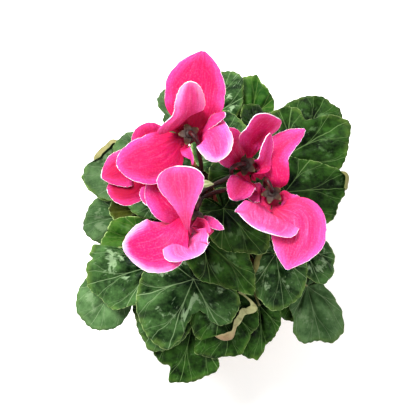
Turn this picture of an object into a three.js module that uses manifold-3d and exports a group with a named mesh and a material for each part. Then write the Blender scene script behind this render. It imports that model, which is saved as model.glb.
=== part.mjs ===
// Potted cyclamen: a clay pot of soil, a half-buried tuber, heart-shaped leaves in a dome, five nodding flowers
// with swept-back petals, and one bud. Millimetres, +Z up, the origin under the middle of the pot's base.
import * as THREE from 'three';
import { mergeVertices } from 'three/addons/utils/BufferGeometryUtils.js';
import Module from 'manifold-3d';

// Pot, soil and tuber
const POT_HEIGHT = 105;
const POT_TOP_RADIUS = 61;
const POT_BASE_RADIUS = 42;
const POT_WALL = 4.5;
const POT_FLOOR = 6;
const RIM_BAND_HEIGHT = 18;
const RIM_BAND_STEP = 2.5;
const DRAIN_RADIUS = 5;
const DRAIN_RING = 22;
const DRAIN_HOLES = 3;
const SOIL_LEVEL = 94;
const SEAT_GAP = 0.3;
const TUBER_RADIUS = 25;
const TUBER_HALF_HEIGHT = 12;
const ROUND_SEGMENTS = 28;

// Leaf blades
const BLADE_THICKNESS = 0.9;
const TOOTH_PITCH = 22.5;
const TOOTH_DEPTH = 0.02;
const RING_STEP = 25;
const UNIT_HALF_WIDTH = 0.678;
const UNIT_ROUND = 3.7;
const LEAF_ARCH = 4;
const LEAF_CROWN = 2;
const MARGIN_WAVE = 1.5;
const WAVES_AROUND = 5;

// How a leaf lies on those below it: the clear height, how softly it lifts, and how far past a blade it reaches
const LEAF_GAP = 4;
const REST_SOFTNESS = 2.5;
const REST_REACH = 0.4;

// Leaf stalks
const OUTER_FEET_RING = 19;
const INNER_FEET_RING = 12.5;
const OUTER_LEAVES = 20;
const STALK_FOOT_RADIUS = 1.8;
const STALK_TOP_RADIUS = 1.2;
const LEVEL_ARRIVAL_HEIGHT = 122;

// Flowers
const PETAL_THICKNESS = 0.8;
const PETAL_ROWS = [0, 0.1, 0.24, 0.42, 0.62, 0.82, 1];
const PETAL_COLUMNS = [-1, -0.5, 0, 0.5, 1];
const BLUNTNESS = 0.55;
const LEAST_HALF_WIDTH = 1.6;
const FLARE_PLACE = 0.3;
const FLARE_SPREAD = 0.12;
const FLOWER_STALK_FOOT_RADIUS = 1.8;
const FLOWER_STALK_TOP_RADIUS = 1.3;
const FLOWER_FEET_RING = 6;
const HOOK_RADIUS = 5;
const HOOK_START = 4.5;
const STALK_END = 2.4;
const SEPALS = 5;

const CLAY = 0xb5643c;
const EARTH = 0x3a2a20;
const TUBER_BROWN = 0x5b4434;
const LEAF_GREEN = 0x2f5a32;
const PETAL_PINK = 0xe83c86;
const STALK_MAROON = 0x4a1a1c;
const SEPAL_OLIVE = 0x8a8448;
const BUD_GREEN = 0xa9b878;

// Leaves from the lowest in the heap to the highest: the point where the stalk meets the blade, the heading in
// degrees, the length ahead of that point, the width, and how far the tip hangs below the point.
const LEAVES = [
  { attach: [-78, 5, 114], heading: -174, length: 34, width: 41, drop: 14 },
  { attach: [-83, 32, 120], heading: 164, length: 31, width: 34, drop: 16 },
  { attach: [-79, -51, 116], heading: -125, length: 46, width: 50, drop: 18 },
  { attach: [71, -52, 108], heading: -93, length: 31, width: 36, drop: 10 },
  { attach: [40, -72, 110], heading: -86, length: 45, width: 40, drop: 14 },
  { attach: [80, -56, 114], heading: -74, length: 52, width: 50, drop: 20 },
  { attach: [-17, -90, 114], heading: -104, length: 48, width: 58, drop: 24 },
  { attach: [-56, 7, 126], heading: 178, length: 35, width: 29, drop: 8 },
  { attach: [16, -79, 123], heading: -98, length: 37, width: 57, drop: 14 },
  { attach: [-33, -72, 128], heading: -127, length: 41, width: 51, drop: 24 },
  { attach: [-54, -19, 132], heading: 172, length: 42, width: 34, drop: 12 },
  { attach: [77, 71, 124], heading: 61, length: 53, width: 51, drop: 16 },
  { attach: [35, 91, 124], heading: 81, length: 48, width: 34, drop: 14 },
  { attach: [-23, 84, 122], heading: 122, length: 46, width: 42, drop: 16 },
  { attach: [77, -27, 129], heading: -13, length: 33, width: 44, drop: 14 },
  { attach: [-68, 35, 136], heading: 158, length: 42, width: 50, drop: 18 },
  { attach: [10, -62, 136], heading: -100, length: 42, width: 60, drop: 12 },
  { attach: [-50, -44, 140], heading: -168, length: 56, width: 60, drop: 24 },
  { attach: [2, 91, 134], heading: 73, length: 51, width: 40, drop: 16 },
  { attach: [39, 77, 136], heading: 102, length: 23, width: 22, drop: 2 },
  { attach: [62, 50, 140], heading: 36, length: 68, width: 76, drop: 18 },
  { attach: [-50, 46, 140], heading: 128, length: 44, width: 46, drop: 14 },
  { attach: [46, -8, 136], heading: -92, length: 34, width: 35, drop: 8 },
  { attach: [52, -34, 142], heading: -80, length: 42, width: 45, drop: 16 },
  { attach: [60, 16, 150], heading: 10, length: 56, width: 59, drop: 20 },
  { attach: [-32, 42, 145], heading: 132, length: 37, width: 42, drop: 6 },
  { attach: [-39, 15, 149], heading: 178, length: 34, width: 41, drop: 6 },
  { attach: [-15, -57, 152], heading: -114, length: 58, width: 82, drop: 32 },
  { attach: [8, 46, 146], heading: 88, length: 44, width: 54, drop: 6 },
  { attach: [34, 36, 147], heading: 195, length: 38, width: 42, drop: 2 },
  { attach: [-8, -26, 162], heading: -41, length: 60, width: 51, drop: 14 },
  { attach: [9, 0, 157], heading: -50, length: 48, width: 48, drop: 8 },
];

// Where a blade's outline leaves the plain heart, by the leaf's number: pairs of an angle from its tip in degrees
// and its reach there as a share of the heart's.
const OUTLINES = {
  1: [[-47, 1.12], [0, 1.05]],
  2: [[-10, 1.15], [10, 0.94], [38, 0.8], [80, 1]],
  3: [[-69, 1], [-50, 1.08], [-31, 1.06], [-9, 0.98], [17, 0.98], [43, 1.02], [58, 0.94],
    [75, 0.78], [110, 0.95]],
  4: [[-30, 1.05], [30, 0.95]],
  5: [[-80, 1], [-36, 1.14], [-11, 1], [2, 0.84], [9, 0.73], [26, 0.75], [38, 0.76], [64, 0.87],
    [100, 0.92]],
  6: [[-90, 0.8], [-58, 0.75], [-50, 0.76], [-42, 0.98], [-31, 1], [-4, 0.88], [22, 1.05],
    [36, 1.12], [52, 1.02], [60, 0.85], [80, 0.6]],
  7: [[-90, 1], [-48, 1], [-35, 0.94], [-18, 0.81], [-12, 1.03], [2, 0.93], [30, 0.96], [52, 1.07],
    [64, 0.82], [100, 1]],
  8: [[-30, 1], [15, 0.9], [50, 0.95]],
  9: [[-80, 1], [-42, 1.08], [-33, 1.25], [-17, 1.12], [2, 0.94], [18, 0.95], [34, 0.8],
    [48, 0.72], [76, 0.84], [120, 1]],
  10: [[-100, 1], [-61, 1.1], [-33, 0.92], [-5, 0.9], [12, 1.04], [50, 1]],
  11: [[-40, 1.05], [-10, 0.9], [30, 1.1]],
  12: [[-50, 1.08], [-25, 1.13], [-9, 1.01], [11, 1], [31, 1.05], [53, 1.1]],
  13: [[-62, 1.05], [-34, 0.92], [-10, 0.87], [6, 1.05], [32, 1.16], [80, 1]],
  14: [[-40, 1.05], [-13, 1.09], [8, 0.95], [20, 0.83], [28, 0.6], [48, 0.68], [90, 0.9]],
  15: [[-80, 1], [-47, 1.17], [-30, 1.06], [-5, 0.83], [28, 0.77], [49, 0.73], [100, 0.9]],
  16: [[-90, 0.9], [-60, 0.95], [-45, 1.24], [-30, 1.1], [-12, 1.04], [14, 1.13], [47, 1.05]],
  17: [[-85, 0.7], [-52, 0.72], [-38, 0.98], [-18, 1.1], [-1, 0.98], [17, 0.99], [28, 0.79],
    [46, 0.72], [68, 0.96], [82, 0.6], [120, 0.9]],
  18: [[-100, 0.6], [-62, 0.52], [-50, 0.9], [-43, 1.24], [-34, 1.19], [-29, 1.07], [-24, 1.12],
    [-8, 1.02], [19, 0.95], [41, 1.02], [56, 0.9], [75, 0.8], [120, 1]],
  19: [[-93, 0.96], [-47, 0.99], [-24, 1.08], [13, 1]],
  20: [[-42, 0.95], [-25, 1.14], [0, 1.06], [24, 1.2], [80, 1]],
  21: [[-80, 0.95], [-21, 0.96], [-2, 1.04], [8, 0.98], [31, 0.72], [48, 0.96], [59, 1.06],
    [80, 1.15], [120, 1]],
  22: [[-27, 0.8], [10, 0.92], [38, 1.05], [80, 1], [110, 0.85]],
  23: [[-40, 0.92], [0, 1.05], [40, 0.95]],
  24: [[-100, 0.8], [-57, 0.93], [-42, 1.14], [-28, 1.12], [7, 1.01], [25, 1.05], [46, 1.02],
    [68, 1.07], [110, 1]],
  25: [[-80, 1], [-50, 1.05], [-20, 0.91], [0, 1], [14, 1.11], [34, 0.96], [60, 0.94], [79, 1.06]],
  27: [[-90, 0.9], [-55, 0.84], [-30, 1], [40, 1]],
  28: [[-120, 1], [-31, 0.99], [-15, 1.01], [0, 0.99], [9, 0.82], [15, 0.57], [21, 0.46],
    [35, 0.45], [43, 0.54], [48, 0.74], [56, 0.9], [66, 1], [88, 1.1], [110, 0.98]],
  29: [[-50, 0.94], [0, 1.05], [45, 0.95]],
  31: [[-110, 0.94], [-82, 0.94], [-67, 1.01], [-42, 0.86], [-29, 0.9], [-10, 1.02], [10, 0.88],
    [31, 0.82], [70, 0.98]],
  32: [[-60, 1.04], [-20, 0.92], [15, 1.04], [50, 0.94]],
};

// Flowers: the calyx's middle, the side that the stalk comes up on, how far the flower nods away from it, where
// the stalk passes among the leaves, and the petals. Each petal has the side it leaves the tube on, its middle
// and its tip from the calyx, its widths to the left and the right of its midline as seen from the tube, how far
// along it is widest, how far it swings and turns on its way to the tip, how deep it is cupped, and how much it
// flares to its left and right near the tube.
const BLOOMS = [
  {
    name: 'bloom_1',
    calyx: [-17, 37, 232],
    stalkSide: -54,
    nod: 12,
    foot: 90,
    through: [[-13, 17, 145], [-9, 28, 170]],
    petals: [
      { from: 62, mid: [5, 31, 4], tip: [10, 57, 20], half: [25, 22], widest: 0.5, blunt: 0.72, cup: 0.12 },
      { from: 134, mid: [-1, 12, 14], tip: [1, 27, 34],
        half: [10, 12], widest: 0.64, blunt: 0.5, turn: 12, cup: 0.2, flare: [16, 13] },
      { from: 206, mid: [-26, -16, -2], tip: [-52, -27, 6], half: [21, 18], widest: 0.54, cup: 0.12 },
      { from: 258, mid: [0, -14, 2], tip: [3, -27, 12], half: [3, 6], widest: 0.55, turn: 80, cup: 0.1 },
      { from: 352, mid: [15, -3, 5], tip: [22, -24, 11],
        half: [15, 13], widest: 0.6, blunt: 0.5, cup: 0.15, flare: [8, 0] },
    ],
  },
  {
    name: 'bloom_2',
    calyx: [-13, -19, 216],
    stalkSide: 75,
    nod: 50,
    foot: 270,
    through: [[-11, 5, 150]],
    petals: [
      { from: 255, by: [-5, -16, 3], mid: [-8, 4, 22], tip: [-11, 24, 38],
        half: [17, 17], widest: 0.86, blunt: 0.46, swing: 10, cup: 0.1 },
      { from: 327, mid: [-3, -22, 2], tip: [0, -35, 8],
        half: [14, 22], widest: 0.66, blunt: 0.5, swing: -28, cup: 0.12, flare: [4, 0] },
      { from: 183, mid: [-27, -20, -4], tip: [-52, -27, 4], half: [24, 19], widest: 0.5, cup: 0.12 },
      { from: 111, mid: [-20, 8, 0], tip: [-33, 25, 8], half: [14, 14], widest: 0.6, cup: 0.15 },
      { from: 39, mid: [11, -6, -2], tip: [21, -12.5, 0], half: [4, 4.5], widest: 0.5, cup: 0.1 },
    ],
  },
  {
    name: 'bloom_3',
    calyx: [-48, 20, 203],
    stalkSide: -20,
    nod: 15,
    foot: 150,
    through: [[-18, 13, 150]],
    petals: [
      { from: 18, mid: [10, 6, 4], tip: [19, 11, 12], half: [10, 8], widest: 0.6, cup: 0.15 },
      { from: 90, mid: [0, 19, 0], tip: [1, 33, 10], half: [15, 15], widest: 0.6, cup: 0.15 },
      { from: 162, mid: [-18, 1, 0], tip: [-36, -10, 6], half: [15, 14], widest: 0.5, blunt: 0.75, cup: 0.15 },
      { from: 234, mid: [-15, -15, -4], tip: [-32, -18, 0], half: [13, 13], widest: 0.6, cup: 0.15 },
      { from: 306, mid: [2, -15, -4], tip: [0, -31, 3], half: [9, 9], widest: 0.6, cup: 0.15 },
    ],
  },
  {
    name: 'bloom_4',
    calyx: [25, 20, 210],
    stalkSide: 198,
    nod: 20,
    foot: 30,
    through: [[-8, 14, 150]],
    petals: [
      { from: 154, mid: [-15, 12, 2], tip: [-28, 22, 6], half: [11, 19], widest: 0.58, blunt: 0.6, cup: 0.12 },
      { from: 232, mid: [-4, -12, -4], tip: [-10.5, -25, -8],
        half: [12, 9], widest: 0.58, swing: 14, cup: 0.15, flare: [6, 0] },
      { from: 298, by: [9.5, -5, -6], mid: [15.2, 5, 3.3], tip: [17.5, 20, 15],
        half: [7.5, 7], widest: 0.6, turn: 70, cup: 0.1, flare: [1.5, 0] },
      { from: 10, mid: [9, 2, -12], tip: [11, 3, -19], half: [5, 5], widest: 0.6, cup: 0.1 },
      { from: 82, mid: [8, 18, 4], tip: [24, 32, 15], half: [22, 13], widest: 0.8, blunt: 0.36, swing: 40, cup: 0.1 },
    ],
  },
  {
    name: 'bloom_5',
    calyx: [45, 0, 203],
    stalkSide: 116,
    nod: 15,
    foot: 330,
    through: [[-8, 9, 150], [2, 11, 166], [22, 12, 177]],
    petals: [
      { from: 152, mid: [-9.5, 3, -7], tip: [-19, 1, -10], half: [8, 7.5], widest: 0.6, cup: 0.15 },
      { from: 224, mid: [-3.5, -20.5, 5], tip: [-7.5, -33, 11],
        half: [25, 25], widest: 0.66, blunt: 0.5, swing: 19, cup: 0.08 },
      { from: 296, mid: [20, -22, -2], tip: [10, -59, 0], half: [22, 21], widest: 0.52, blunt: 0.88, cup: 0.12 },
      { from: 8, mid: [16, -6, -11], tip: [26, -12, -16], half: [9, 9], widest: 0.6, cup: 0.15 },
      { from: 80, by: [6, 11, 0], mid: [6, 29, 7], tip: [25, 46, 14],
        half: [14, 8], widest: 0.52, blunt: 0.7, cup: 0.15 },
    ],
  },
];
const BUD = { calyx: [-12, 11, 192], stalkSide: 180, nod: 80, foot: 210, through: [[-18, 9, 150]] };

const radians = THREE.MathUtils.degToRad;
const { lerp, smoothstep } = THREE.MathUtils;
const wasm = await Module();
wasm.setup();

// A closed geometry as a solid that can be cut and joined, and back again.
function solidOf(geometry) {
  const bare = geometry.clone();
  bare.deleteAttribute('normal');
  bare.deleteAttribute('uv');
  const merged = mergeVertices(bare, 1e-4);
  const vertProperties = merged.attributes.position.array;
  const triVerts = new Uint32Array(merged.index.array);
  return new wasm.Manifold(new wasm.Mesh({ numProp: 3, vertProperties, triVerts }));
}

function geometryOf(solid) {
  const mesh = solid.getMesh();
  const geometry = new THREE.BufferGeometry();
  geometry.setAttribute('position', new THREE.BufferAttribute(mesh.vertProperties, 3));
  geometry.setIndex(new THREE.BufferAttribute(mesh.triVerts, 1));
  return geometry;
}

// Solids made one, without the slivers that a join can leave beside the whole.
function joined(solids) {
  const whole = solids.reduce((sum, solid) => sum.add(solid));
  return whole.decompose().reduce((most, piece) => (piece.volume() > most.volume() ? piece : most));
}

function indexedGeometry(points, triangles) {
  const geometry = new THREE.BufferGeometry();
  const coordinates = points.flatMap((point) => point.toArray());
  geometry.setAttribute('position', new THREE.Float32BufferAttribute(coordinates, 3));
  geometry.setIndex(triangles.flat());
  return geometry;
}

// Gives an open surface its thickness: both faces share one triangulation, and a wall closes its edge.
function thickSheet(points, triangles, thickness) {
  const surface = indexedGeometry(points, triangles);
  surface.computeVertexNormals();
  const normals = surface.attributes.normal;
  const faces = [thickness / 2, -thickness / 2].map((offset) => points.map((point, i) => {
    const normal = new THREE.Vector3().fromBufferAttribute(normals, i);
    return point.clone().addScaledVector(normal, offset);
  }));
  const count = points.length;
  const edges = new Map();
  triangles.forEach(([a, b, c]) => {
    [[a, b], [b, c], [c, a]].forEach(([p, q]) => edges.set(`${p},${q}`, [p, q]));
  });
  const walls = [];
  edges.forEach(([p, q]) => {
    if (edges.has(`${q},${p}`)) return;
    walls.push([p, p + count, q], [q, p + count, q + count]);
  });
  const under = triangles.map(([a, b, c]) => [a + count, c + count, b + count]);
  return solidOf(indexedGeometry([...faces[0], ...faces[1]], [...triangles, ...under, ...walls]));
}

// A round stalk along a curve, its radius going evenly from the first to the last.
function stalkAlong(curve, steps, sides, firstRadius, lastRadius) {
  const frames = curve.computeFrenetFrames(steps, false);
  const points = [];
  const triangles = [];
  for (let i = 0; i <= steps; i += 1) {
    const centre = curve.getPointAt(i / steps);
    const radius = lerp(firstRadius, lastRadius, i / steps);
    for (let k = 0; k < sides; k += 1) {
      const angle = (2 * Math.PI * k) / sides;
      const point = centre.clone().addScaledVector(frames.normals[i], radius * Math.cos(angle));
      points.push(point.addScaledVector(frames.binormals[i], radius * Math.sin(angle)));
    }
  }
  for (let i = 0; i < steps; i += 1) {
    for (let k = 0; k < sides; k += 1) {
      const a = i * sides + k;
      const b = i * sides + ((k + 1) % sides);
      triangles.push([a, b, a + sides], [b, b + sides, a + sides]);
    }
  }
  const last = steps * sides;
  for (let k = 1; k < sides - 1; k += 1) {
    triangles.push([0, k + 1, k], [last, last + k, last + k + 1]);
  }
  return solidOf(indexedGeometry(points, triangles));
}

// A turned solid from [radius, height] pairs that start and end on the axis or close on themselves.
function turned(profile, segments) {
  const lathe = new THREE.LatheGeometry(profile.map(([r, z]) => new THREE.Vector2(r, z)), segments);
  lathe.rotateX(Math.PI / 2);
  return solidOf(lathe);
}

function named(name, solid, color, roughness) {
  const material = new THREE.MeshStandardMaterial({ color, roughness, metalness: 0 });
  const mesh = new THREE.Mesh(geometryOf(solid), material);
  mesh.name = name;
  return mesh;
}

function polar(radius, degrees, z) {
  return new THREE.Vector3(radius * Math.cos(radians(degrees)), radius * Math.sin(radians(degrees)), z);
}

// The pot's tapered wall with a rim band, and a floor with drain holes round its middle.
function potSolid() {
  const bandBottom = POT_HEIGHT - RIM_BAND_HEIGHT;
  const wallRadius = (z) => lerp(POT_BASE_RADIUS, POT_TOP_RADIUS - RIM_BAND_STEP, z / POT_HEIGHT);
  const shell = turned([
    [0, 0],
    [POT_BASE_RADIUS - 1.5, 0],
    [POT_BASE_RADIUS, 1.5],
    [wallRadius(bandBottom), bandBottom],
    [POT_TOP_RADIUS - 1, bandBottom + 1],
    [POT_TOP_RADIUS, POT_HEIGHT - 1.5],
    [POT_TOP_RADIUS - 1.5, POT_HEIGHT],
    [wallRadius(POT_HEIGHT) - POT_WALL + 1.5, POT_HEIGHT],
    [wallRadius(POT_HEIGHT) - POT_WALL, POT_HEIGHT - 1.5],
    [wallRadius(POT_FLOOR) - POT_WALL, POT_FLOOR],
    [0, POT_FLOOR],
  ], ROUND_SEGMENTS);
  const holes = Array.from({ length: DRAIN_HOLES }, (_, i) => {
    const hole = new THREE.CylinderGeometry(DRAIN_RADIUS, DRAIN_RADIUS, 3 * POT_FLOOR, 16);
    hole.rotateX(Math.PI / 2);
    hole.translate(...polar(DRAIN_RING, (360 * i) / DRAIN_HOLES, 0).toArray());
    return solidOf(hole);
  });
  return holes.reduce((pot, hole) => pot.subtract(hole), shell);
}

// The soil fills the pot to a little under the rim, with a round seat for the lower half of the tuber.
function soilSolid() {
  const insideRadius = (z) => {
    const outside = lerp(POT_BASE_RADIUS, POT_TOP_RADIUS - RIM_BAND_STEP, z / POT_HEIGHT);
    return outside - POT_WALL - 2 * SEAT_GAP;
  };
  const seat = Array.from({ length: 5 }, (_, i) => {
    const angle = (Math.PI / 2) * (i / 4);
    const radius = (TUBER_RADIUS + 2 * SEAT_GAP) * Math.cos(angle);
    return [i === 4 ? 0 : radius, SOIL_LEVEL - (TUBER_HALF_HEIGHT + SEAT_GAP) * Math.sin(angle)];
  });
  return turned([
    [0, POT_FLOOR + SEAT_GAP],
    [insideRadius(POT_FLOOR), POT_FLOOR + SEAT_GAP],
    [insideRadius(SOIL_LEVEL), SOIL_LEVEL - 1],
    [insideRadius(SOIL_LEVEL) - 6, SOIL_LEVEL + 1],
    [insideRadius(SOIL_LEVEL) - 16, SOIL_LEVEL - 0.5],
    ...seat,
  ], ROUND_SEGMENTS);
}

function tuberSolid() {
  const profile = Array.from({ length: 9 }, (_, i) => {
    const angle = Math.PI * (i / 8 - 0.5);
    const radius = i % 8 === 0 ? 0 : TUBER_RADIUS * Math.cos(angle);
    return [radius, SOIL_LEVEL + TUBER_HALF_HEIGHT * Math.sin(angle)];
  });
  return turned(profile, ROUND_SEGMENTS);
}

// A point just clear of the tuber's dome, on a ring of the given radius.
function footOnTuber(ring, degrees, radius) {
  const rise = TUBER_HALF_HEIGHT * Math.sqrt(1 - (ring / TUBER_RADIUS) ** 2);
  const slope = (TUBER_HALF_HEIGHT / TUBER_RADIUS) * (ring / TUBER_RADIUS);
  return polar(ring, degrees, SOIL_LEVEL + rise + SEAT_GAP + slope * radius + 0.1);
}

// A blade's outline round the stalk's end, for a blade one unit long: a rounded heart with a blunt tip.
function heartRadius(angle) {
  const blunt = 0.03 * Math.exp(-((angle / 0.25) ** 2));
  return 0.64 + 0.3 * Math.cos(angle) + 0.03 * Math.cos(2 * angle) + blunt;
}

// The narrow bay that lets the stalk in between the blade's two back lobes.
function bay(angle) {
  return 1 - 0.75 * Math.exp(-(((Math.PI - Math.abs(angle)) / 0.28) ** 2));
}

// A leaf's own reach at an angle as a share of the heart's: an S-shaped step between each two given places.
function outline(places, angle) {
  const turn = THREE.MathUtils.radToDeg(angle);
  const all = [[-180, 1], ...places, [180, 1]];
  const k = Math.max(1, all.findIndex(([degrees]) => degrees > turn));
  return lerp(all[k - 1][1], all[k][1], smoothstep(turn, all[k - 1][0], all[k][0]));
}

// Angles evenly round a blade, the nearest one moved onto each place where its outline bends.
function anglesRound(count, places) {
  const angles = Array.from({ length: count }, (_, k) => -Math.PI + (2 * Math.PI * (k + 0.5)) / count);
  places.forEach(([degrees]) => {
    const k = Math.round(((radians(degrees) + Math.PI) * count) / (2 * Math.PI) - 0.5);
    angles[k] = radians(degrees);
  });
  return angles;
}

// Where a place in plan lies on a leaf: along and across it in units of its size, the angle round the stalk's
// end, and the distance out from there as a share of the way to the margin.
function placeOnLeaf(leaf, x, y) {
  const turn = radians(leaf.heading);
  const dx = x - leaf.attach[0];
  const dy = y - leaf.attach[1];
  const along = (dx * Math.cos(turn) + dy * Math.sin(turn)) / leaf.length;
  const across = (dy * Math.cos(turn) - dx * Math.sin(turn)) / ((leaf.width / 2) / UNIT_HALF_WIDTH);
  const angle = Math.atan2(across, along);
  const lobe = Math.max(outline(OUTLINES[LEAVES.indexOf(leaf) + 1] ?? [], angle), 1);
  return { along, across, angle, share: Math.hypot(along, across) / heartRadius(angle) / lobe };
}

// A leaf's own height: it arches down to its tip and its sides, and its margin is gently waved.
function ownHeight(leaf, index, x, y) {
  const { along, across, angle, share } = placeOnLeaf(leaf, x, y);
  const wave = Math.min(share, 1.2) ** 2 * Math.sin(WAVES_AROUND * angle + 2.4 * index);
  const arch = leaf.drop * along + LEAF_ARCH * along ** 2 + LEAF_CROWN * (across / UNIT_HALF_WIDTH) ** 2;
  return leaf.attach[2] - arch + MARGIN_WAVE * wave;
}

// The height at which a leaf lies at a place: each leaf lifts those above it clear of itself, fully over its
// blade and fading out past its margin.
function restingHeight(index, x, y) {
  const heights = [];
  for (let i = 0; i <= index; i += 1) {
    let height = ownHeight(LEAVES[i], i, x, y);
    heights.forEach((below, j) => {
      const cover = 1 - smoothstep(placeOnLeaf(LEAVES[j], x, y).share, 1, 1 + REST_REACH);
      const lift = below + LEAF_GAP - height;
      height += cover * 0.5 * (lift + Math.hypot(lift, REST_SOFTNESS));
    });
    heights.push(height);
  }
  return heights[index];
}

// Feet stand evenly round two rings on the tuber, in the order in which the blades lie round it.
function leafFoot(index) {
  const outer = index < OUTER_LEAVES;
  const side = (leaf) => Math.atan2(leaf.attach[1], leaf.attach[0]);
  const ring = outer ? LEAVES.slice(0, OUTER_LEAVES) : LEAVES.slice(OUTER_LEAVES);
  const order = [...ring].sort((a, b) => side(a) - side(b));
  const place = order.indexOf(LEAVES[index]);
  const degrees = -180 + (360 * (place + 0.5)) / ring.length;
  return footOnTuber(outer ? OUTER_FEET_RING : INNER_FEET_RING, degrees, STALK_FOOT_RADIUS);
}

function leafStalk(index) {
  const [x, y] = LEAVES[index].attach;
  const foot = leafFoot(index);
  const end = new THREE.Vector3(x, y, restingHeight(index, x, y) - 0.2);
  const outward = end.clone().sub(foot).setZ(0);
  const rise = end.z - foot.z;
  const rising = foot.clone().addScaledVector(outward, 0.12);
  rising.z += 0.6 * rise + 10;
  const arriving = end.clone().addScaledVector(outward, -0.4);
  arriving.z += THREE.MathUtils.clamp(0.6 * (LEVEL_ARRIVAL_HEIGHT - end.z), -9, 9);
  const curve = new THREE.CubicBezierCurve3(foot, rising, arriving, end);
  return stalkAlong(curve, 6, 4, STALK_FOOT_RADIUS, STALK_TOP_RADIUS);
}

// A blade is a fan and rings of triangles round the stalk's end, laid at its resting height.
function leafBlade(index) {
  const leaf = LEAVES[index];
  const size = (leaf.length + leaf.width) / 2;
  const points = 2 * Math.round((UNIT_ROUND * size) / TOOTH_PITCH);
  const rings = Math.max(2, Math.round(size / RING_STEP));
  const turn = radians(leaf.heading);
  const places = OUTLINES[index + 1] ?? [];
  const angles = anglesRound(points, places);
  const at = (share, angle) => {
    const reach = share * heartRadius(angle) * bay(angle) * outline(places, angle);
    const along = leaf.length * reach * Math.cos(angle);
    const across = ((leaf.width / 2) / UNIT_HALF_WIDTH) * reach * Math.sin(angle);
    const x = leaf.attach[0] + along * Math.cos(turn) - across * Math.sin(turn);
    const y = leaf.attach[1] + along * Math.sin(turn) + across * Math.cos(turn);
    return new THREE.Vector3(x, y, restingHeight(index, x, y));
  };
  const vertices = [at(0, 0)];
  const triangles = [];
  for (let ring = 1; ring <= rings; ring += 1) {
    for (let k = 0; k < points; k += 1) {
      const tooth = ring === rings ? (k % 2 ? -TOOTH_DEPTH : TOOTH_DEPTH) : 0;
      vertices.push(at(ring / rings + tooth, angles[k]));
    }
  }
  for (let k = 0; k < points; k += 1) {
    const next = (k + 1) % points;
    triangles.push([0, 1 + k, 1 + next]);
    for (let ring = 1; ring < rings; ring += 1) {
      const inner = 1 + (ring - 1) * points;
      const outer = inner + points;
      triangles.push([inner + k, outer + k, outer + next], [inner + k, outer + next, inner + next]);
    }
  }
  return thickSheet(vertices, triangles, BLADE_THICKNESS);
}

// A flower's own axis, leaning away from its stalk: a vector along it is turned into the plant's frame.
function nodding(flower, vector) {
  return vector.applyAxisAngle(polar(1, flower.stalkSide + 90, 0), radians(flower.nod));
}

// A petal's half width along its length, as a share of the widest: narrow at the tube, blunt at the tip.
function petalWidth(t, widest, blunt = BLUNTNESS) {
  const power = Math.log(0.5) / Math.log(widest);
  const egg = Math.max(Math.sin(Math.PI * t ** power), 0) ** blunt;
  return egg * smoothstep(t, -0.2, 0.26);
}

// A petal leaves the tube's mouth downward, turns out over its lip, and sweeps back to its middle and tip. Its
// crosswise direction swings and turns on the way, and its two halves are cupped.
function petalSolid(petal, bloom) {
  const spine = new THREE.CatmullRomCurve3([
    nodding(bloom, polar(4.2, petal.from, -6)),
    nodding(bloom, polar(5.9, petal.from, -9.4)),
    nodding(bloom, polar(9.6, petal.from, -9.2)),
    ...[petal.by, petal.mid, petal.tip].filter(Boolean).map((point) => new THREE.Vector3(...point)),
  ], false, 'catmullrom', 0.5);
  const tipSide = THREE.MathUtils.radToDeg(Math.atan2(petal.tip[1], petal.tip[0]));
  const ownSwing = THREE.MathUtils.euclideanModulo(tipSide - petal.from + 180, 360) - 180;
  const swing = petal.swing ?? ownSwing;
  const first = nodding(bloom, polar(1, petal.from + 90, 0));
  const vertices = PETAL_ROWS.flatMap((t) => {
    const centre = spine.getPointAt(t);
    const tangent = spine.getTangentAt(t);
    const along = smoothstep(t, 0.1, 0.6);
    const across = polar(1, petal.from + swing * along + 90, 0).lerp(first, 1 - along);
    across.addScaledVector(tangent, -across.dot(tangent)).normalize();
    across.applyAxisAngle(tangent, radians((petal.turn ?? 0) * along));
    const normal = new THREE.Vector3().crossVectors(across, tangent);
    return PETAL_COLUMNS.map((s) => {
      const flare = (petal.flare ?? [0, 0])[s < 0 ? 1 : 0] * Math.exp(-(((t - FLARE_PLACE) / FLARE_SPREAD) ** 2));
      const width = petal.half[s < 0 ? 1 : 0] * petalWidth(t, petal.widest, petal.blunt);
      const half = Math.max(width, LEAST_HALF_WIDTH) + flare;
      const edge = centre.clone().addScaledVector(across, s * half);
      return edge.addScaledVector(normal, petal.cup * half * s ** 2);
    });
  });
  const triangles = [];
  for (let i = 0; i < PETAL_ROWS.length - 1; i += 1) {
    for (let k = 0; k < PETAL_COLUMNS.length - 1; k += 1) {
      const a = i * PETAL_COLUMNS.length + k;
      const b = a + PETAL_COLUMNS.length;
      triangles.push([a, a + 1, b + 1], [a, b + 1, b]);
    }
  }
  return thickSheet(vertices, triangles, PETAL_THICKNESS);
}

// A solid made round a calyx at the origin, with its axis upright, set in its place and nodding.
function setOn(flower, solid) {
  const { x, y, z, w } = new THREE.Quaternion().setFromAxisAngle(
    polar(1, flower.stalkSide + 90, 0),
    radians(flower.nod),
  );
  const turn = new THREE.Matrix4().makeRotationFromQuaternion(new THREE.Quaternion(x, y, z, w));
  turn.setPosition(...flower.calyx);
  return solid.transform(turn.elements);
}

// The petals grow from one short tube with a flared mouth, which the ovary fills from above.
function corollaSolid(bloom) {
  const tube = turned([
    [2.4, -1.6], [3.7, -7], [6.6, -9.4], [5.2, -6.5], [3.6, -1.6], [2.4, -1.6],
  ], 8);
  const petals = bloom.petals.map((petal) => petalSolid(petal, bloom).translate(...bloom.calyx));
  return joined([setOn(bloom, tube), ...petals]);
}

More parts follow.
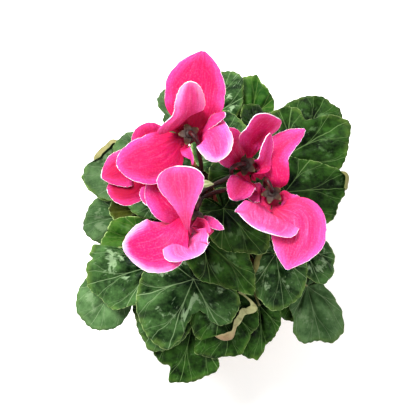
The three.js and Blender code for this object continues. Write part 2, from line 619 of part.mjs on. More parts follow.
// Five pointed sepals round a small cup. What hangs from the cup is the ovary with its style, in the tube.
function calyxSolid(core) {
  const sepals = Array.from({ length: SEPALS }, (_, i) => {
    const outline = [[2.2, -1.5, -0.2], [2.2, 1.5, -0.2], [5.4, -1.9, -0.8], [5.4, 1.9, -0.8], [8, 0, -2.4]];
    const turn = (2 * Math.PI * (i + 0.5)) / SEPALS;
    const points = outline.map(([x, y, z]) => new THREE.Vector3(x, y, z)
      .applyAxisAngle(new THREE.Vector3(0, 0, 1), turn));
    return thickSheet(points, [[0, 2, 1], [1, 2, 3], [2, 4, 3]], 0.7);
  });
  return joined([turned(core, 6), ...sepals]);
}

function flowerCalyx(bloom) {
  return setOn(bloom, calyxSolid([
    [0, -11], [0.7, -10.5], [1.8, -5.5], [2, -1.3], [3.6, -1.3], [3, 1], [0, 2],
  ]));
}

// A young bud hangs closed and pointed under its calyx.
function budSolid() {
  return setOn(BUD, turned([
    [0, -13.5], [0.8, -12.5], [2.2, -9.5], [3, -6.5], [2.8, -3.5], [2, -1.6], [0, -1.6],
  ], 8));
}

function budCalyx() {
  return setOn(BUD, calyxSolid([[0, -1.3], [3, -1.3], [2.8, 1], [0, 2]]));
}

// A flower's stalk: up from the tuber through the leaves, past the tube, and over in a round hook to the calyx.
function flowerStalk(flower) {
  const calyx = new THREE.Vector3(...flower.calyx);
  const beside = (out, z) => polar(out, flower.stalkSide, z).add(calyx);
  const nod = radians(flower.nod);
  const hookMiddle = [
    HOOK_START * Math.sin(nod) + HOOK_RADIUS * Math.cos(nod),
    HOOK_START * Math.cos(nod) - HOOK_RADIUS * Math.sin(nod),
  ];
  const onHook = (angle) => beside(
    hookMiddle[0] - HOOK_RADIUS * Math.cos(angle),
    hookMiddle[1] + HOOK_RADIUS * Math.sin(angle),
  );
  const out = hookMiddle[0] + HOOK_RADIUS;
  const curve = new THREE.CatmullRomCurve3([
    footOnTuber(FLOWER_FEET_RING, flower.foot, FLOWER_STALK_FOOT_RADIUS),
    ...flower.through.map((point) => new THREE.Vector3(...point)),
    beside(out, -16),
    beside(out, -6),
    onHook(Math.PI),
    onHook(lerp(nod, Math.PI, 0.66)),
    onHook(lerp(nod, Math.PI, 0.33)),
    onHook(nod),
    beside(STALK_END * Math.sin(nod), STALK_END * Math.cos(nod)),
  ]);
  return stalkAlong(curve, 13, 5, FLOWER_STALK_FOOT_RADIUS, FLOWER_STALK_TOP_RADIUS);
}

const plant = new THREE.Group();
plant.add(named('pot', potSolid(), CLAY, 0.85));
plant.add(named('soil', soilSolid(), EARTH, 0.95));
plant.add(named('tuber', tuberSolid(), TUBER_BROWN, 0.8));
LEAVES.forEach((leaf, i) => {
  const solid = joined([leafBlade(i), leafStalk(i)]);
  plant.add(named(`leaf_${String(i + 1).padStart(2, '0')}`, solid, LEAF_GREEN, 0.5));
});
BLOOMS.forEach((bloom) => {
  plant.add(named(`${bloom.name}_petals`, corollaSolid(bloom), PETAL_PINK, 0.5));
  plant.add(named(`${bloom.name}_calyx`, flowerCalyx(bloom), SEPAL_OLIVE, 0.6));
  plant.add(named(`${bloom.name}_stalk`, flowerStalk(bloom), STALK_MAROON, 0.5));
});
plant.add(named('bud', budSolid(), BUD_GREEN, 0.5));
plant.add(named('bud_calyx', budCalyx(), SEPAL_OLIVE, 0.6));
plant.add(named('bud_stalk', flowerStalk(BUD), STALK_MAROON, 0.5));

export default plant;
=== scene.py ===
# %% [markdown]
# # A cyclamen in a clay pot
#
# The plant is a dome of heart-shaped, marbled leaves, with five pink flowers and a bud standing over it.
# The frame brings the plain solids. Everything that is seen is made again here, finer, in the same place:
# each blade and petal is a surface worked out from two parameters. Lengths are in millimetres until a mesh
# is made, as in the solids.

# %% Load the frame
from collections import namedtuple

import bmesh
import bpy
import numpy as np
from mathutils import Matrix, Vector


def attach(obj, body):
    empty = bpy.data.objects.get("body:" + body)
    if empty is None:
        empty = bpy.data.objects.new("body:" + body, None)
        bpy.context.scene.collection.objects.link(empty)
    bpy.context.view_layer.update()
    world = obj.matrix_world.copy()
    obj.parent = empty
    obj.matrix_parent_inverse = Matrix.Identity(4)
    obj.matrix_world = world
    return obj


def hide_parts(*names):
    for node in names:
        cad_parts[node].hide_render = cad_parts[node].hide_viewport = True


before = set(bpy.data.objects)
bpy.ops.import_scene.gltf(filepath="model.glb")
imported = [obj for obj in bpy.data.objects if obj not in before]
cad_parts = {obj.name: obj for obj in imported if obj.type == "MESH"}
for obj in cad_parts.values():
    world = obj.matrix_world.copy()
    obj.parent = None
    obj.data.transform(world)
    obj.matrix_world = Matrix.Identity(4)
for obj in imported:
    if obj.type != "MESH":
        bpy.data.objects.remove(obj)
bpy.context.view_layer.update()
MM = 0.001

# %% [markdown]
# ## The camera
#
# The plant is seen from above and a little in front. A camera points down its own -Z axis, so it is turned
# until that axis lies along the line from its place to the point that it looks at.

# %% Place the camera
CAMERA_PLACE = Vector((-3.5, -178.8, 826.1)) * MM
CAMERA_TARGET = Vector((-3.5, 2.4, 150.0)) * MM
CAMERA_LENS = 73.9


def placed(name, data):
    """An object of some data, put into the scene."""
    made = bpy.data.objects.new(name, data)
    bpy.context.scene.collection.objects.link(made)
    return made


def aim(made, place):
    """Moves a camera or a lamp to a place and turns its -Z axis towards the leaves."""
    made.location = place
    made.rotation_euler = (CAMERA_TARGET - place).to_track_quat("-Z", "Y").to_euler()


camera = placed("camera", bpy.data.cameras.new("camera"))
camera.data.lens = CAMERA_LENS
aim(camera, CAMERA_PLACE)
bpy.context.scene.camera = camera
print("camera", round((CAMERA_TARGET - CAMERA_PLACE).length / MM), "mm away")

# %% [markdown]
# ## Shader maths in plain expressions
#
# A material is a graph of nodes, and a pattern is a formula. Wiring each sum by hand hides the formula, so a
# small class holds an output socket and turns +, - and * into Math nodes. Most patterns are a number that
# is cut off softly between two levels, which `rise` and `fall` do.


# %% A socket that can be added and multiplied
class Amount:
    """A number that changes over a surface."""

    def __init__(self, finish, socket):
        self.finish = finish
        self.socket = socket

    def __add__(self, other):
        return self.finish.maths("ADD", self, other)

    def __sub__(self, other):
        return self.finish.maths("SUBTRACT", self, other)

    def __rsub__(self, other):
        return self.finish.maths("SUBTRACT", other, self)

    def __mul__(self, other):
        return self.finish.maths("MULTIPLY", self, other)

    def __abs__(self):
        return self.finish.maths("ABSOLUTE", self)

    def at_least(self, other):
        """The greater of the two."""
        return self.finish.maths("MAXIMUM", self, other)

    def rise(self, low, high):
        """0 below low, 1 above high, and an S-shaped rise between them."""
        settings = {"interpolation_type": "SMOOTHSTEP"}
        inputs = {"Value": self, "From Min": low, "From Max": high}
        return self.finish.node("ShaderNodeMapRange", settings, inputs)

    def fall(self, low, high):
        """1 below low, 0 above high, and an S-shaped fall between them."""
        return 1 - self.rise(low, high)

    __radd__ = __add__
    __rmul__ = __mul__


# %% [markdown]
# One class makes a material and its nodes. Each node comes from `node`, which takes the node's type, its
# settings and the values or links of its sockets. Colours are given as they look on a screen, from 0 to 255,
# and turned into the linear values that light is added in. A Mix node has its two colours at the inputs 6
# and 7 and the mixed colour at the output 2, because the places before them are for numbers and vectors.


# %% A finish and its nodes
def colour(red, green, blue):
    """A screen colour as linear light: each part is divided by 255 and raised to 2.2."""
    return tuple((part / 255) ** 2.2 for part in (red, green, blue)) + (1.0,)


class Finish:
    """A material with one Principled shader, fed by patterns."""

    def __init__(self, name, **settings):
        self.material = bpy.data.materials.new(name)
        self.material.use_nodes = True
        self.tree = self.material.node_tree
        self.shader = self.tree.nodes["Principled BSDF"]
        for socket, value in settings.items():
            self.shader.inputs[socket.replace("_", " ")].default_value = value

    def feed(self, socket, value):
        """Links an amount to a socket, or sets a plain value on it."""
        if isinstance(value, Amount):
            self.tree.links.new(value.socket, socket)
        else:
            socket.default_value = value

    def node(self, kind, settings, inputs, output=0):
        """A new node with its settings and inputs, as the amount at one of its outputs."""
        made = self.tree.nodes.new(kind)
        for key, value in settings.items():
            setattr(made, key, value)
        for key, value in inputs.items():
            self.feed(made.inputs[key], value)
        return Amount(self, made.outputs[output])

    def maths(self, operation, *values):
        """A Math node over one or two amounts or numbers."""
        inputs = dict(enumerate(values))
        return self.node("ShaderNodeMath", {"operation": operation}, inputs)

    def mix(self, first, second, share):
        """The first colour, with so large a share of the second over it."""
        settings = {"data_type": "RGBA", "clamp_factor": True}
        return self.node("ShaderNodeMix", settings, {0: share, 6: first, 7: second}, 2)

    def mark(self, name):
        """A number that the mesh carries at each of its points: output 2 of the node."""
        return self.node("ShaderNodeAttribute", {"attribute_name": name}, {}, 2)

    def position(self):
        """Where a point is on the object, in metres: output 3 of the node."""
        return self.node("ShaderNodeTexCoord", {}, {}, 3)

    def noise(self, vector, scale, detail, roughness=0.5):
        """Lumps of light and dark round 0.5, scale of them to a metre where the vector is a position."""
        inputs = {"Vector": vector, "Scale": scale, "Detail": detail, "Roughness": roughness}
        return self.node("ShaderNodeTexNoise", {}, inputs)

    def drawn(self, x, y, z, detail, roughness=0.6):
        """Noise over three marks instead of a position, drawn out along the mark that counts least."""
        vector = self.node("ShaderNodeCombineXYZ", {}, {0: x, 1: y, 2: z})
        return self.noise(vector, 1.0, detail, roughness)

    def paint(self, body, roughness, relief, depth):
        """Feeds the shader its colour, its roughness and a relief whose full height is depth, in metres."""
        bump = self.node("ShaderNodeBump", {}, {"Height": relief, "Distance": depth, "Strength": 1.0})
        fed = {"Base Color": body, "Roughness": roughness, "Normal": bump}
        for name, value in fed.items():
            self.feed(self.shader.inputs[name], value)
        return self.material


# %% [markdown]
# ## The light and the floor
#
# A plain pale floor and soft light from large lamps, brightest from the upper left, keep the shadows under
# the leaves gentle.

# %% Light the plant
FLOOR_SIZE = 6000.0
FLOOR_GREY = (0.97, 0.97, 0.97, 1.0)
WHITE = (1.0, 1.0, 1.0, 1.0)
SKY_STRENGTH = 0.4
LAMPS = [
    # name, place, size across and watts
    ("key", (-420, 260, 900), 420, 20.0),
    ("fill", (520, -420, 700), 620, 5.0),
    ("rear", (100, 700, 520), 500, 3.0),
]

for name, place, size, watts in LAMPS:
    lamp = placed(name, bpy.data.lights.new(name, "AREA"))
    lamp.data.size = size * MM
    lamp.data.energy = watts
    aim(lamp, Vector(place) * MM)

bpy.context.scene.view_settings.view_transform = "Standard"
world = bpy.data.worlds.new("studio")
bpy.context.scene.world = world
world.use_nodes = True
world.node_tree.nodes["Background"].inputs["Color"].default_value = WHITE
world.node_tree.nodes["Background"].inputs["Strength"].default_value = SKY_STRENGTH

half = FLOOR_SIZE / 2 * MM
floor_corners = [(-half, -half, 0), (half, -half, 0), (half, half, 0), (-half, half, 0)]
floor_mesh = bpy.data.meshes.new("floor")
floor_mesh.from_pydata(floor_corners, [], [(0, 1, 2, 3)])
floor = placed("floor", floor_mesh)
FLOOR = Finish("floor", Base_Color=FLOOR_GREY, Roughness=0.95, Emission_Color=WHITE, Emission_Strength=0.2)
floor_mesh.materials.append(FLOOR.material)
print("lamps:", len(LAMPS))

# %% [markdown]
# ## Skins: from arrays to one mesh
#
# A surface is an array of points, and the faces between them follow from the array's shape. `Skins` gathers
# several closed surfaces, each with its finish and the numbers that its points carry, and makes them one
# piece that stands for its CAD node.


# %% Faces, edge and normals of a grid
def grid_faces(rows, columns, closed=False):
    """Four-sided faces of a grid, the last column joined to the first if it is closed."""
    i, k = np.meshgrid(np.arange(rows - 1), np.arange(columns if closed else columns - 1), indexing="ij")
    beside = (k + 1) % columns
    corners = [i * columns + k, i * columns + beside, (i + 1) * columns + beside, (i + 1) * columns + k]
    return np.stack([corner.ravel() for corner in corners], axis=1)


def grid_edge(rows, columns):
    """The points round a grid's edge, in the order that its faces turn."""
    index = np.arange(rows * columns).reshape(rows, columns)
    return np.concatenate([index[0, :-1], index[:-1, -1], index[-1, :0:-1], index[:0:-1, 0]])


def point_normals(points, faces):
    """At each point, the sum of its faces' normals, each the cross product of the face's diagonals."""
    total = np.zeros_like(points)
    for group in faces:
        first = points[group[:, 2]] - points[group[:, 0]]
        second = points[group[:, -1]] - points[group[:, 1]]
        for corner in group.T:
            np.add.at(total, corner, np.cross(first, second))
    return total / np.maximum(np.linalg.norm(total, axis=1, keepdims=True), 1e-9)


# %% Points that lie on one another
WELD_DISTANCE = 1e-7


def weld(mesh):
    """Joins points that lie on one another, such as all those at a turned form's poles."""
    work = bmesh.new()
    work.from_mesh(mesh)
    bmesh.ops.remove_doubles(work, verts=work.verts, dist=WELD_DISTANCE)
    work.to_mesh(mesh)
    work.free()


# %% Skins that make one piece
class Skins:
    """Closed surfaces that become one mesh."""

    def __init__(self):
        self.points = []
        self.faces = []
        self.finishes = []
        self.marks = []
        self.count = 0

    def add(self, points, faces, finish, marks=None):
        """Faces are a list of index arrays, and finish is one number for all or one for each array."""
        numbers = finish if isinstance(finish, list) else [finish] * len(faces)
        for group, number in zip(faces, numbers):
            self.faces += (group + self.count).tolist()
            self.finishes += [number] * len(group)
        spread = {name: np.broadcast_to(value, len(points)) for name, value in (marks or {}).items()}
        self.points.append(points)
        self.marks.append(spread)
        self.count += len(points)

    def add_sheet(self, points, faces, edge, thickness, finishes, marks):
        """Two faces, half the thickness off along the normals to either side, and a wall round the edge."""
        normals = point_normals(points, faces)
        count = len(points)
        both = np.concatenate([points + normals * thickness / 2, points - normals * thickness / 2])
        under = [group[:, ::-1] + count for group in faces]
        after = np.roll(edge, -1)
        wall = np.stack([edge, edge + count, after + count, after], axis=1)
        doubled = {name: np.concatenate([value, value]) for name, value in marks.items()}
        order = [finishes[0]] * len(faces) + [finishes[1]] * len(under) + [finishes[0]]
        self.add(both, [*faces, *under, wall], order, doubled)

    def add_turned(self, profile, sides, finish, place=None, marks=None):
        """A turned form: each point of the profile, a radius and a height, goes round the axis."""
        angle = np.arange(sides) * 2 * np.pi / sides
        radius, height = np.asarray(profile, float).T
        points = np.stack([
            radius[:, None] * np.cos(angle),
            radius[:, None] * np.sin(angle),
            np.broadcast_to(height[:, None], (len(radius), sides)),
        ], axis=2).reshape(-1, 3)
        points = points if place is None else place(points)
        self.add(points, [grid_faces(len(radius), sides, closed=True)], finish, marks)

    def add_stalk(self, path, radii, flat, sides, finish, marks=None):
        """A round stalk: its rings stand square to the path, which never runs along the direction flat."""
        tangent = np.gradient(path, axis=0)
        tangent /= np.linalg.norm(tangent, axis=1, keepdims=True)
        side = np.cross(tangent, flat)
        side /= np.linalg.norm(side, axis=1, keepdims=True)
        rise = np.cross(tangent, side)
        angle = np.arange(sides) * 2 * np.pi / sides
        spread = np.cos(angle)[None, :, None] * side[:, None] + np.sin(angle)[None, :, None] * rise[:, None]
        points = (path[:, None] + radii[:, None, None] * spread).reshape(-1, 3)
        first = np.arange(sides)[None, ::-1]
        last = np.arange(sides)[None] + (len(path) - 1) * sides
        self.add(points, [grid_faces(len(path), sides, closed=True), first, last], finish, marks)

    def mesh(self, name):
        """The points and faces alone."""
        mesh = bpy.data.meshes.new(name)
        mesh.from_pydata((np.concatenate(self.points) * MM).tolist(), [], self.faces)
        return mesh

    def piece(self, name, finishes, slot, *nodes):
        """Makes the mesh, closes its poles, and sets it in the frame in place of its nodes."""
        mesh = self.mesh(name)
        for mark in sorted({mark for marks in self.marks for mark in marks}):
            layer = mesh.attributes.new(mark, "FLOAT", "POINT")
            parts = [marks.get(mark, np.zeros(len(p))) for marks, p in zip(self.marks, self.points)]
            layer.data.foreach_set("value", np.concatenate(parts).astype(np.float32))
        for finish in finishes:
            mesh.materials.append(finish)
        mesh.polygons.foreach_set("material_index", np.array(self.finishes, np.int32))
        mesh.polygons.foreach_set("use_smooth", np.ones(len(mesh.polygons), bool))
        weld(mesh)
        made = placed(name, mesh)
        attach(made, "root")
        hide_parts(*nodes)
        return made


# %% [markdown]
# ## Smooth paths
#
# A stalk or a petal's midline goes through a few given points. A Catmull-Rom curve passes through each of
# them, its direction there set by the neighbours on either side. It is then measured along its length, so
# that the rows of a surface lie evenly.


# %% A curve through points
def smoothstep(value, low, high):
    """0 below low and 1 above high, and 3 times the square less 2 times the cube between them."""
    share = np.clip((value - low) / (high - low), 0, 1)
    return share * share * (3 - 2 * share)


def path_through(points, steps, evenness=0.0, rows=None):
    """A Catmull-Rom curve. With evenness 0.5, a span's weight is the square root of its length."""
    points = np.asarray(points, float)
    ends = [2 * points[0] - points[1], 2 * points[-1] - points[-2]]
    points = np.concatenate([ends[:1], points, ends[1:]])
    spans = np.linalg.norm(np.diff(points, axis=0), axis=1) ** evenness
    fine = []
    u = np.linspace(0, 1, 60, endpoint=False)[:, None]
    for i in range(1, len(points) - 2):
        before, start, end, after = points[i - 1:i + 3]
        d0, d1, d2 = spans[i - 1:i + 2]
        leave = ((start - before) / d0 - (end - before) / (d0 + d1) + (end - start) / d1) * d1
        arrive = ((end - start) / d1 - (after - start) / (d1 + d2) + (after - end) / d2) * d1
        fine.append(start + u * leave + u**2 * (3 * (end - start) - 2 * leave - arrive)
                    + u**3 * (2 * (start - end) + leave + arrive))
    fine = np.concatenate([*fine, points[-2:-1]])
    length = np.concatenate([[0], np.cumsum(np.linalg.norm(np.diff(fine, axis=0), axis=1))])
    rows = np.linspace(0, 1, steps + 1) if rows is None else rows
    return np.stack([np.interp(rows * length[-1], length, fine[:, axis]) for axis in range(3)], axis=1)


def polar(radius, degrees, height=0.0):
    """A point at a distance from the axis, in a direction in degrees, at a height."""
    return np.array([radius * np.cos(np.radians(degrees)), radius * np.sin(np.radians(degrees)), height])


def turning(axis, degrees):
    """The matrix that turns a row of points about an axis through the origin."""
    x, y, z = axis / np.linalg.norm(axis)
    cross = np.array([[0, -z, y], [z, 0, -x], [-y, x, 0]])
    angle = np.radians(degrees)
    return (np.eye(3) + np.sin(angle) * cross + (1 - np.cos(angle)) * cross @ cross).T


def ripple(x, y, seed):
    """A smooth, uneven ripple between about -1 and 1: three sine waves across each other."""
    return (np.sin(x * 1.3 + y * 0.7 + seed) + np.sin(x * -0.8 + y * 1.7 + 2.1 * seed)
            + np.sin(x * 2.1 + y * 1.9 + 3.7 * seed)) / 3


# %% [markdown]
# ## The pot
#
# A florist's clay pot is turned on a wheel, so its form is one profile carried round the axis. The clay is
# matte, a little blotchy with dried salts, and has faint throwing lines round it.

# %% The clay
POT_HEIGHT = 105.0
POT_TOP_RADIUS = 61.0
POT_BASE_RADIUS = 42.0
POT_WALL = 4.5
POT_FLOOR = 6.0
POT_BEVEL = 1.5
RIM_BAND_HEIGHT = 18.0
RIM_BAND_STEP = 2.5
DRAIN_HOLES = 3
DRAIN_RADIUS = 5.0
DRAIN_RING = 22.0
DRILL_ENDS = (-9, 18)
DRILL_SIDES = 32
POT_SIDES = 120
POT_ROUNDING = 0.12

CLAY_RED = colour(168, 92, 58)
CLAY_ORANGE = colour(196, 120, 84)
SALTS_PALE = colour(216, 178, 152)


def clay_finish():
    """Clay: two reds blotched by noise, pale salts where it is high, and fine rings by height."""
    clay = Finish("clay")
    place = clay.position()
    grain = clay.noise(place, 900, 2)
    body = clay.mix(CLAY_RED, CLAY_ORANGE, clay.noise(place, 18, 5))
    body = clay.mix(body, SALTS_PALE, clay.noise(place, 42, 6).rise(0.56, 0.75) * 0.45)
    stretched = clay.node("ShaderNodeMapping", {}, {"Vector": place, "Scale": (2.0, 2.0, 420.0)})
    lines = clay.noise(stretched, 1, 2)
    return clay.paint(body, 0.78 + 0.14 * grain, grain * 0.5 + lines * 0.5, 0.0003)


def rounded(profile, bend):
    """Cuts each corner of a profile twice, at bend of the way along its sides, which rounds it."""
    profile = np.array(profile, float)
    for _ in range(2):
        start, end = profile[:-1], profile[1:]
        cut = np.stack([start + bend * (end - start), end - bend * (end - start)], axis=1).reshape(-1, 2)
        profile = np.concatenate([profile[:1], cut[1:-1], profile[-1:]])
    return profile


def pot_wall(height):
    """The outer radius of the tapering wall at a height."""
    return POT_BASE_RADIUS + (POT_TOP_RADIUS - RIM_BAND_STEP - POT_BASE_RADIUS) * height / POT_HEIGHT


# %% The pot's form
band = POT_HEIGHT - RIM_BAND_HEIGHT
mouth = pot_wall(POT_HEIGHT) - POT_WALL
pot_profile = rounded([
    (POT_BASE_RADIUS - POT_BEVEL, 0),
    (POT_BASE_RADIUS, POT_BEVEL),
    (pot_wall(band), band),
    (POT_TOP_RADIUS - 1, band + 1),
    (POT_TOP_RADIUS, POT_HEIGHT - POT_BEVEL),
    (POT_TOP_RADIUS - POT_BEVEL, POT_HEIGHT),
    (mouth + POT_BEVEL, POT_HEIGHT),
    (mouth, POT_HEIGHT - POT_BEVEL),
    (pot_wall(POT_FLOOR) - POT_WALL, POT_FLOOR),
], POT_ROUNDING)
pot_skin = Skins()
pot_skin.add_turned([(0, 0), *pot_profile, (0, POT_FLOOR)], POT_SIDES, 0)
pot = pot_skin.piece("clay_pot", [clay_finish()], "clay", "pot")

# %% [markdown]
# The drain holes are drilled: a Boolean modifier takes three rods away from the pot. Its result is kept as
# a mesh of its own, and then the modifier and the rods are not needed any more.

# %% Drill the drain holes
bottom, top = DRILL_ENDS
rod = [(0, bottom), (DRAIN_RADIUS, bottom), (DRAIN_RADIUS, top), (0, top)]
drills = Skins()
for hole in range(DRAIN_HOLES):
    centre = polar(DRAIN_RING, hole * 360 / DRAIN_HOLES)
    drills.add_turned(rod, DRILL_SIDES, 0, lambda points, centre=centre: points + centre)
drill = placed("drill", drills.mesh("drill"))
weld(drill.data)
cut = pot.modifiers.new("drain holes", "BOOLEAN")
cut.operation = "DIFFERENCE"
cut.object = drill
bpy.context.view_layer.update()
pot_mesh = bpy.data.meshes.new_from_object(pot.evaluated_get(bpy.context.evaluated_depsgraph_get()))
pot.modifiers.clear()
pot.data = pot_mesh
bpy.data.objects.remove(drill)
print("pot:", len(pot_mesh.polygons), "faces")

# %% [markdown]
# ## Soil and tuber
#
# Potting soil is dark and crumbly. Its top is the solid's profile with fine bumps in its height, so it stays
# within a millimetre of it. The tuber is a squat, corky ball that sits half in the soil.

# %% Soil
SOIL_LEVEL = 94.0
SEAT_GAP = 0.3
TUBER_RADIUS = 25.0
TUBER_HALF_HEIGHT = 12.0
SOIL_BUMP = 0.7
SOIL_RINGS = 34
SEAT_RINGS = 11
SOIL_SIDES = 160

HUMUS = colour(30, 22, 17)
CRUMB_BROWN = colour(88, 66, 48)
FIBRE_PALE = colour(150, 124, 92)


def soil_finish():
    """Soil: near black, with brown crumbs and a few pale fibres."""
    soil = Finish("soil")
    place = soil.position()
    crumbs = soil.noise(place, 260, 6, 0.7)
    fibres = soil.noise(place, 700, 2).rise(0.68, 0.74)
    body = soil.mix(HUMUS, CRUMB_BROWN, crumbs.rise(0.4, 0.7))
    body = soil.mix(body, FIBRE_PALE, fibres * 0.6)
    return soil.paint(body, 0.95, crumbs, 0.0014)


def soil_wall(height):
    """The soil's radius at a height, just clear of the pot's inside."""
    return pot_wall(height) - POT_WALL - 2 * SEAT_GAP


outer, inner = soil_wall(SOIL_LEVEL), TUBER_RADIUS + 2 * SEAT_GAP
top_radii = np.linspace(outer, inner, SOIL_RINGS)
top_steps = SOIL_LEVEL + np.array([0, -0.5, 1, -1])
top_heights = np.interp(top_radii, [inner, outer - 16, outer - 6, outer], top_steps)
seat_angles = np.linspace(0, np.pi / 2, SEAT_RINGS + 1)[1:]
seat_radii = inner * np.cos(seat_angles)
seat_radii[-1] = 0
seat_heights = SOIL_LEVEL - (TUBER_HALF_HEIGHT + SEAT_GAP) * np.sin(seat_angles)
soil_foot = POT_FLOOR + SEAT_GAP
profile = [(0, soil_foot), (soil_wall(POT_FLOOR), soil_foot)]
profile += [*zip(top_radii, top_heights), *zip(seat_radii, seat_heights)]


def crumbled(points):
    """Raises and lowers the top by an uneven ripple, most in the middle of the ring of soil."""
    x, y, z = points.T
    radius = np.hypot(x, y)
    free = smoothstep(radius, inner, inner + 4) * (1 - smoothstep(radius, outer - 4, outer))
    top = free * (z > SOIL_LEVEL - 3)
    bumps = ripple(x * 0.9, y * 0.9, 3.0) + 0.6 * ripple(x * 2.3, y * 2.1, 5.0)
    return points + np.stack([0 * top, 0 * top, SOIL_BUMP * top * bumps], axis=1)


soil_skin = Skins()
soil_skin.add_turned(profile, SOIL_SIDES, 0, crumbled)
made = soil_skin.piece("potting_soil", [soil_finish()], "soil", "soil")
print("soil:", len(made.data.polygons), "faces")


# %% Tuber
CORK_BROWN = colour(96, 72, 54)
CORK_DUSTY = colour(132, 104, 80)
CORK_CRACK = colour(52, 38, 30)
DENT = 0.25
TUBER_RINGS = 37
TUBER_SIDES = 96


def tuber_finish():
    """Cork: brown, dusty in blotches, and cracked into plates."""
    cork = Finish("tuber")
    place = cork.position()
    settings = {"feature": "DISTANCE_TO_EDGE"}
    plates = cork.node("ShaderNodeTexVoronoi", settings, {"Vector": place, "Scale": 170})
    crack = plates.fall(0.02, 0.12)
    body = cork.mix(CORK_BROWN, CORK_DUSTY, cork.noise(place, 120, 5))
    body = cork.mix(body, CORK_CRACK, crack * 0.7)
    return cork.paint(body, 0.85, 1 - crack, 0.0006)


def corky(points):
    """Presses the ball in unevenly by up to twice the dent, and never out of the solid."""
    way = points - np.array([0, 0, SOIL_LEVEL])
    dent = DENT * (1 + ripple(way[:, 0] * 0.5 + way[:, 2], way[:, 1] * 0.5, 1.0))
    return points - dent[:, None] * way / np.maximum(np.linalg.norm(way, axis=1, keepdims=True), 1e-6)


tuber_angles = np.linspace(-np.pi / 2, np.pi / 2, TUBER_RINGS)
tuber_radii = TUBER_RADIUS * np.cos(tuber_angles)
tuber_radii[[0, -1]] = 0
tuber_heights = SOIL_LEVEL + TUBER_HALF_HEIGHT * np.sin(tuber_angles)
tuber_skin = Skins()
tuber_skin.add_turned([*zip(tuber_radii, tuber_heights)], TUBER_SIDES, 0, corky)
made = tuber_skin.piece("tuber_cork", [tuber_finish()], "tuber", "tuber")
print("tuber:", len(made.data.polygons), "faces")

# %% [markdown]
# ## The leaves
#
# Each leaf is a rounded heart. Its outline is a distance from the stalk's end that depends on the angle, with
# a narrow bay behind where the stalk comes in. The blades lie on each other like shingles: each one's height
# is its own arch, lifted wherever a lower leaf comes up under it. The tables and formulas are those of the
# solids, and a tone is added for the finish.

# %% Where each leaf is
BLADE_THICKNESS = 0.8
UNIT_HALF_WIDTH = 0.678
UNIT_ROUND = 3.7
LEAF_ARCH = 4.0
LEAF_CROWN = 2.0
MARGIN_WAVE = 1.5
WAVES_AROUND = 5
LEAF_GAP = 4.0
REST_SOFTNESS = 2.5
REST_REACH = 0.4
OUTER_FEET_RING = 19.0
INNER_FEET_RING = 12.5
OUTER_LEAVES = 20
STALK_FOOT_RADIUS = 1.8
STALK_TOP_RADIUS = 1.2
LEVEL_ARRIVAL_HEIGHT = 122.0

# The stalk's end; where the tip points, in degrees; the blade's length and width; how far its tip hangs; and
# the tone of its finish.
Leaf = namedtuple("Leaf", "x y z heading length width drop tone")
LEAVES = [Leaf(*row) for row in (
    (-78, 5, 114, -174, 34, 41, 14, "pale"),
    (-83, 32, 120, 164, 31, 34, 16, "fresh"),
    (-79, -51, 116, -125, 46, 50, 18, "pale"),
    (71, -52, 108, -93, 31, 36, 10, "deep"),
    (40, -72, 110, -86, 45, 40, 14, "deep"),
    (80, -56, 114, -74, 52, 50, 20, "pale"),
    (-17, -90, 114, -104, 48, 58, 24, "deep"),
    (-56, 7, 126, 178, 35, 29, 8, "olive"),
    (16, -79, 123, -98, 37, 57, 14, "deep"),
    (-33, -72, 128, -127, 41, 51, 24, "marbled"),
    (-54, -19, 132, 172, 42, 34, 12, "fresh"),
    (77, 71, 124, 61, 53, 51, 16, "deep"),
    (35, 91, 124, 81, 48, 34, 14, "fresh"),
    (-23, 84, 122, 122, 46, 42, 16, "pale"),
    (77, -27, 129, -13, 33, 44, 14, "marbled"),
    (-68, 35, 136, 158, 42, 50, 18, "pale"),
    (10, -62, 136, -100, 42, 60, 12, "deep"),
    (-50, -44, 140, -168, 56, 60, 24, "marbled"),
    (2, 91, 134, 73, 51, 40, 16, "marbled"),
    (39, 77, 136, 102, 23, 22, 2, "deep"),
    (62, 50, 140, 36, 68, 76, 18, "deep"),
    (-50, 46, 140, 128, 44, 46, 14, "pale"),
    (46, -8, 136, -92, 34, 35, 8, "marbled"),
    (52, -34, 142, -80, 42, 45, 16, "marbled"),
    (60, 16, 150, 10, 56, 59, 20, "deep"),
    (-32, 42, 145, 132, 37, 42, 6, "deep"),
    (-39, 15, 149, 178, 34, 41, 6, "marbled"),
    (-15, -57, 152, -114, 58, 82, 32, "marbled"),
    (8, 46, 146, 88, 44, 54, 6, "marbled"),
    (34, 36, 147, 195, 38, 42, 2, "deep"),
    (-8, -26, 162, -41, 60, 51, 14, "deep"),
    (9, 0, 157, -50, 48, 48, 8, "deep"),
)]

# How much darker (below 0) or lighter a blade is than its tone, by leaf number.
# These are partly each leaf's own tone and partly painted shade, darkest on the leaves in the middle under the
# flowers.
SHADES = {
    1: -0.3, 3: -0.05, 6: -0.35, 8: -0.55, 9: -0.15, 11: -0.5, 12: -0.3, 13: -0.45, 14: -0.55, 16: -0.45,
    17: -0.25, 18: -0.1, 20: -0.65, 21: -0.3, 22: -0.35, 23: -0.6, 24: -0.1, 25: -0.35, 26: -0.6, 28: -0.15,
    30: -0.6, 32: -0.45,
}

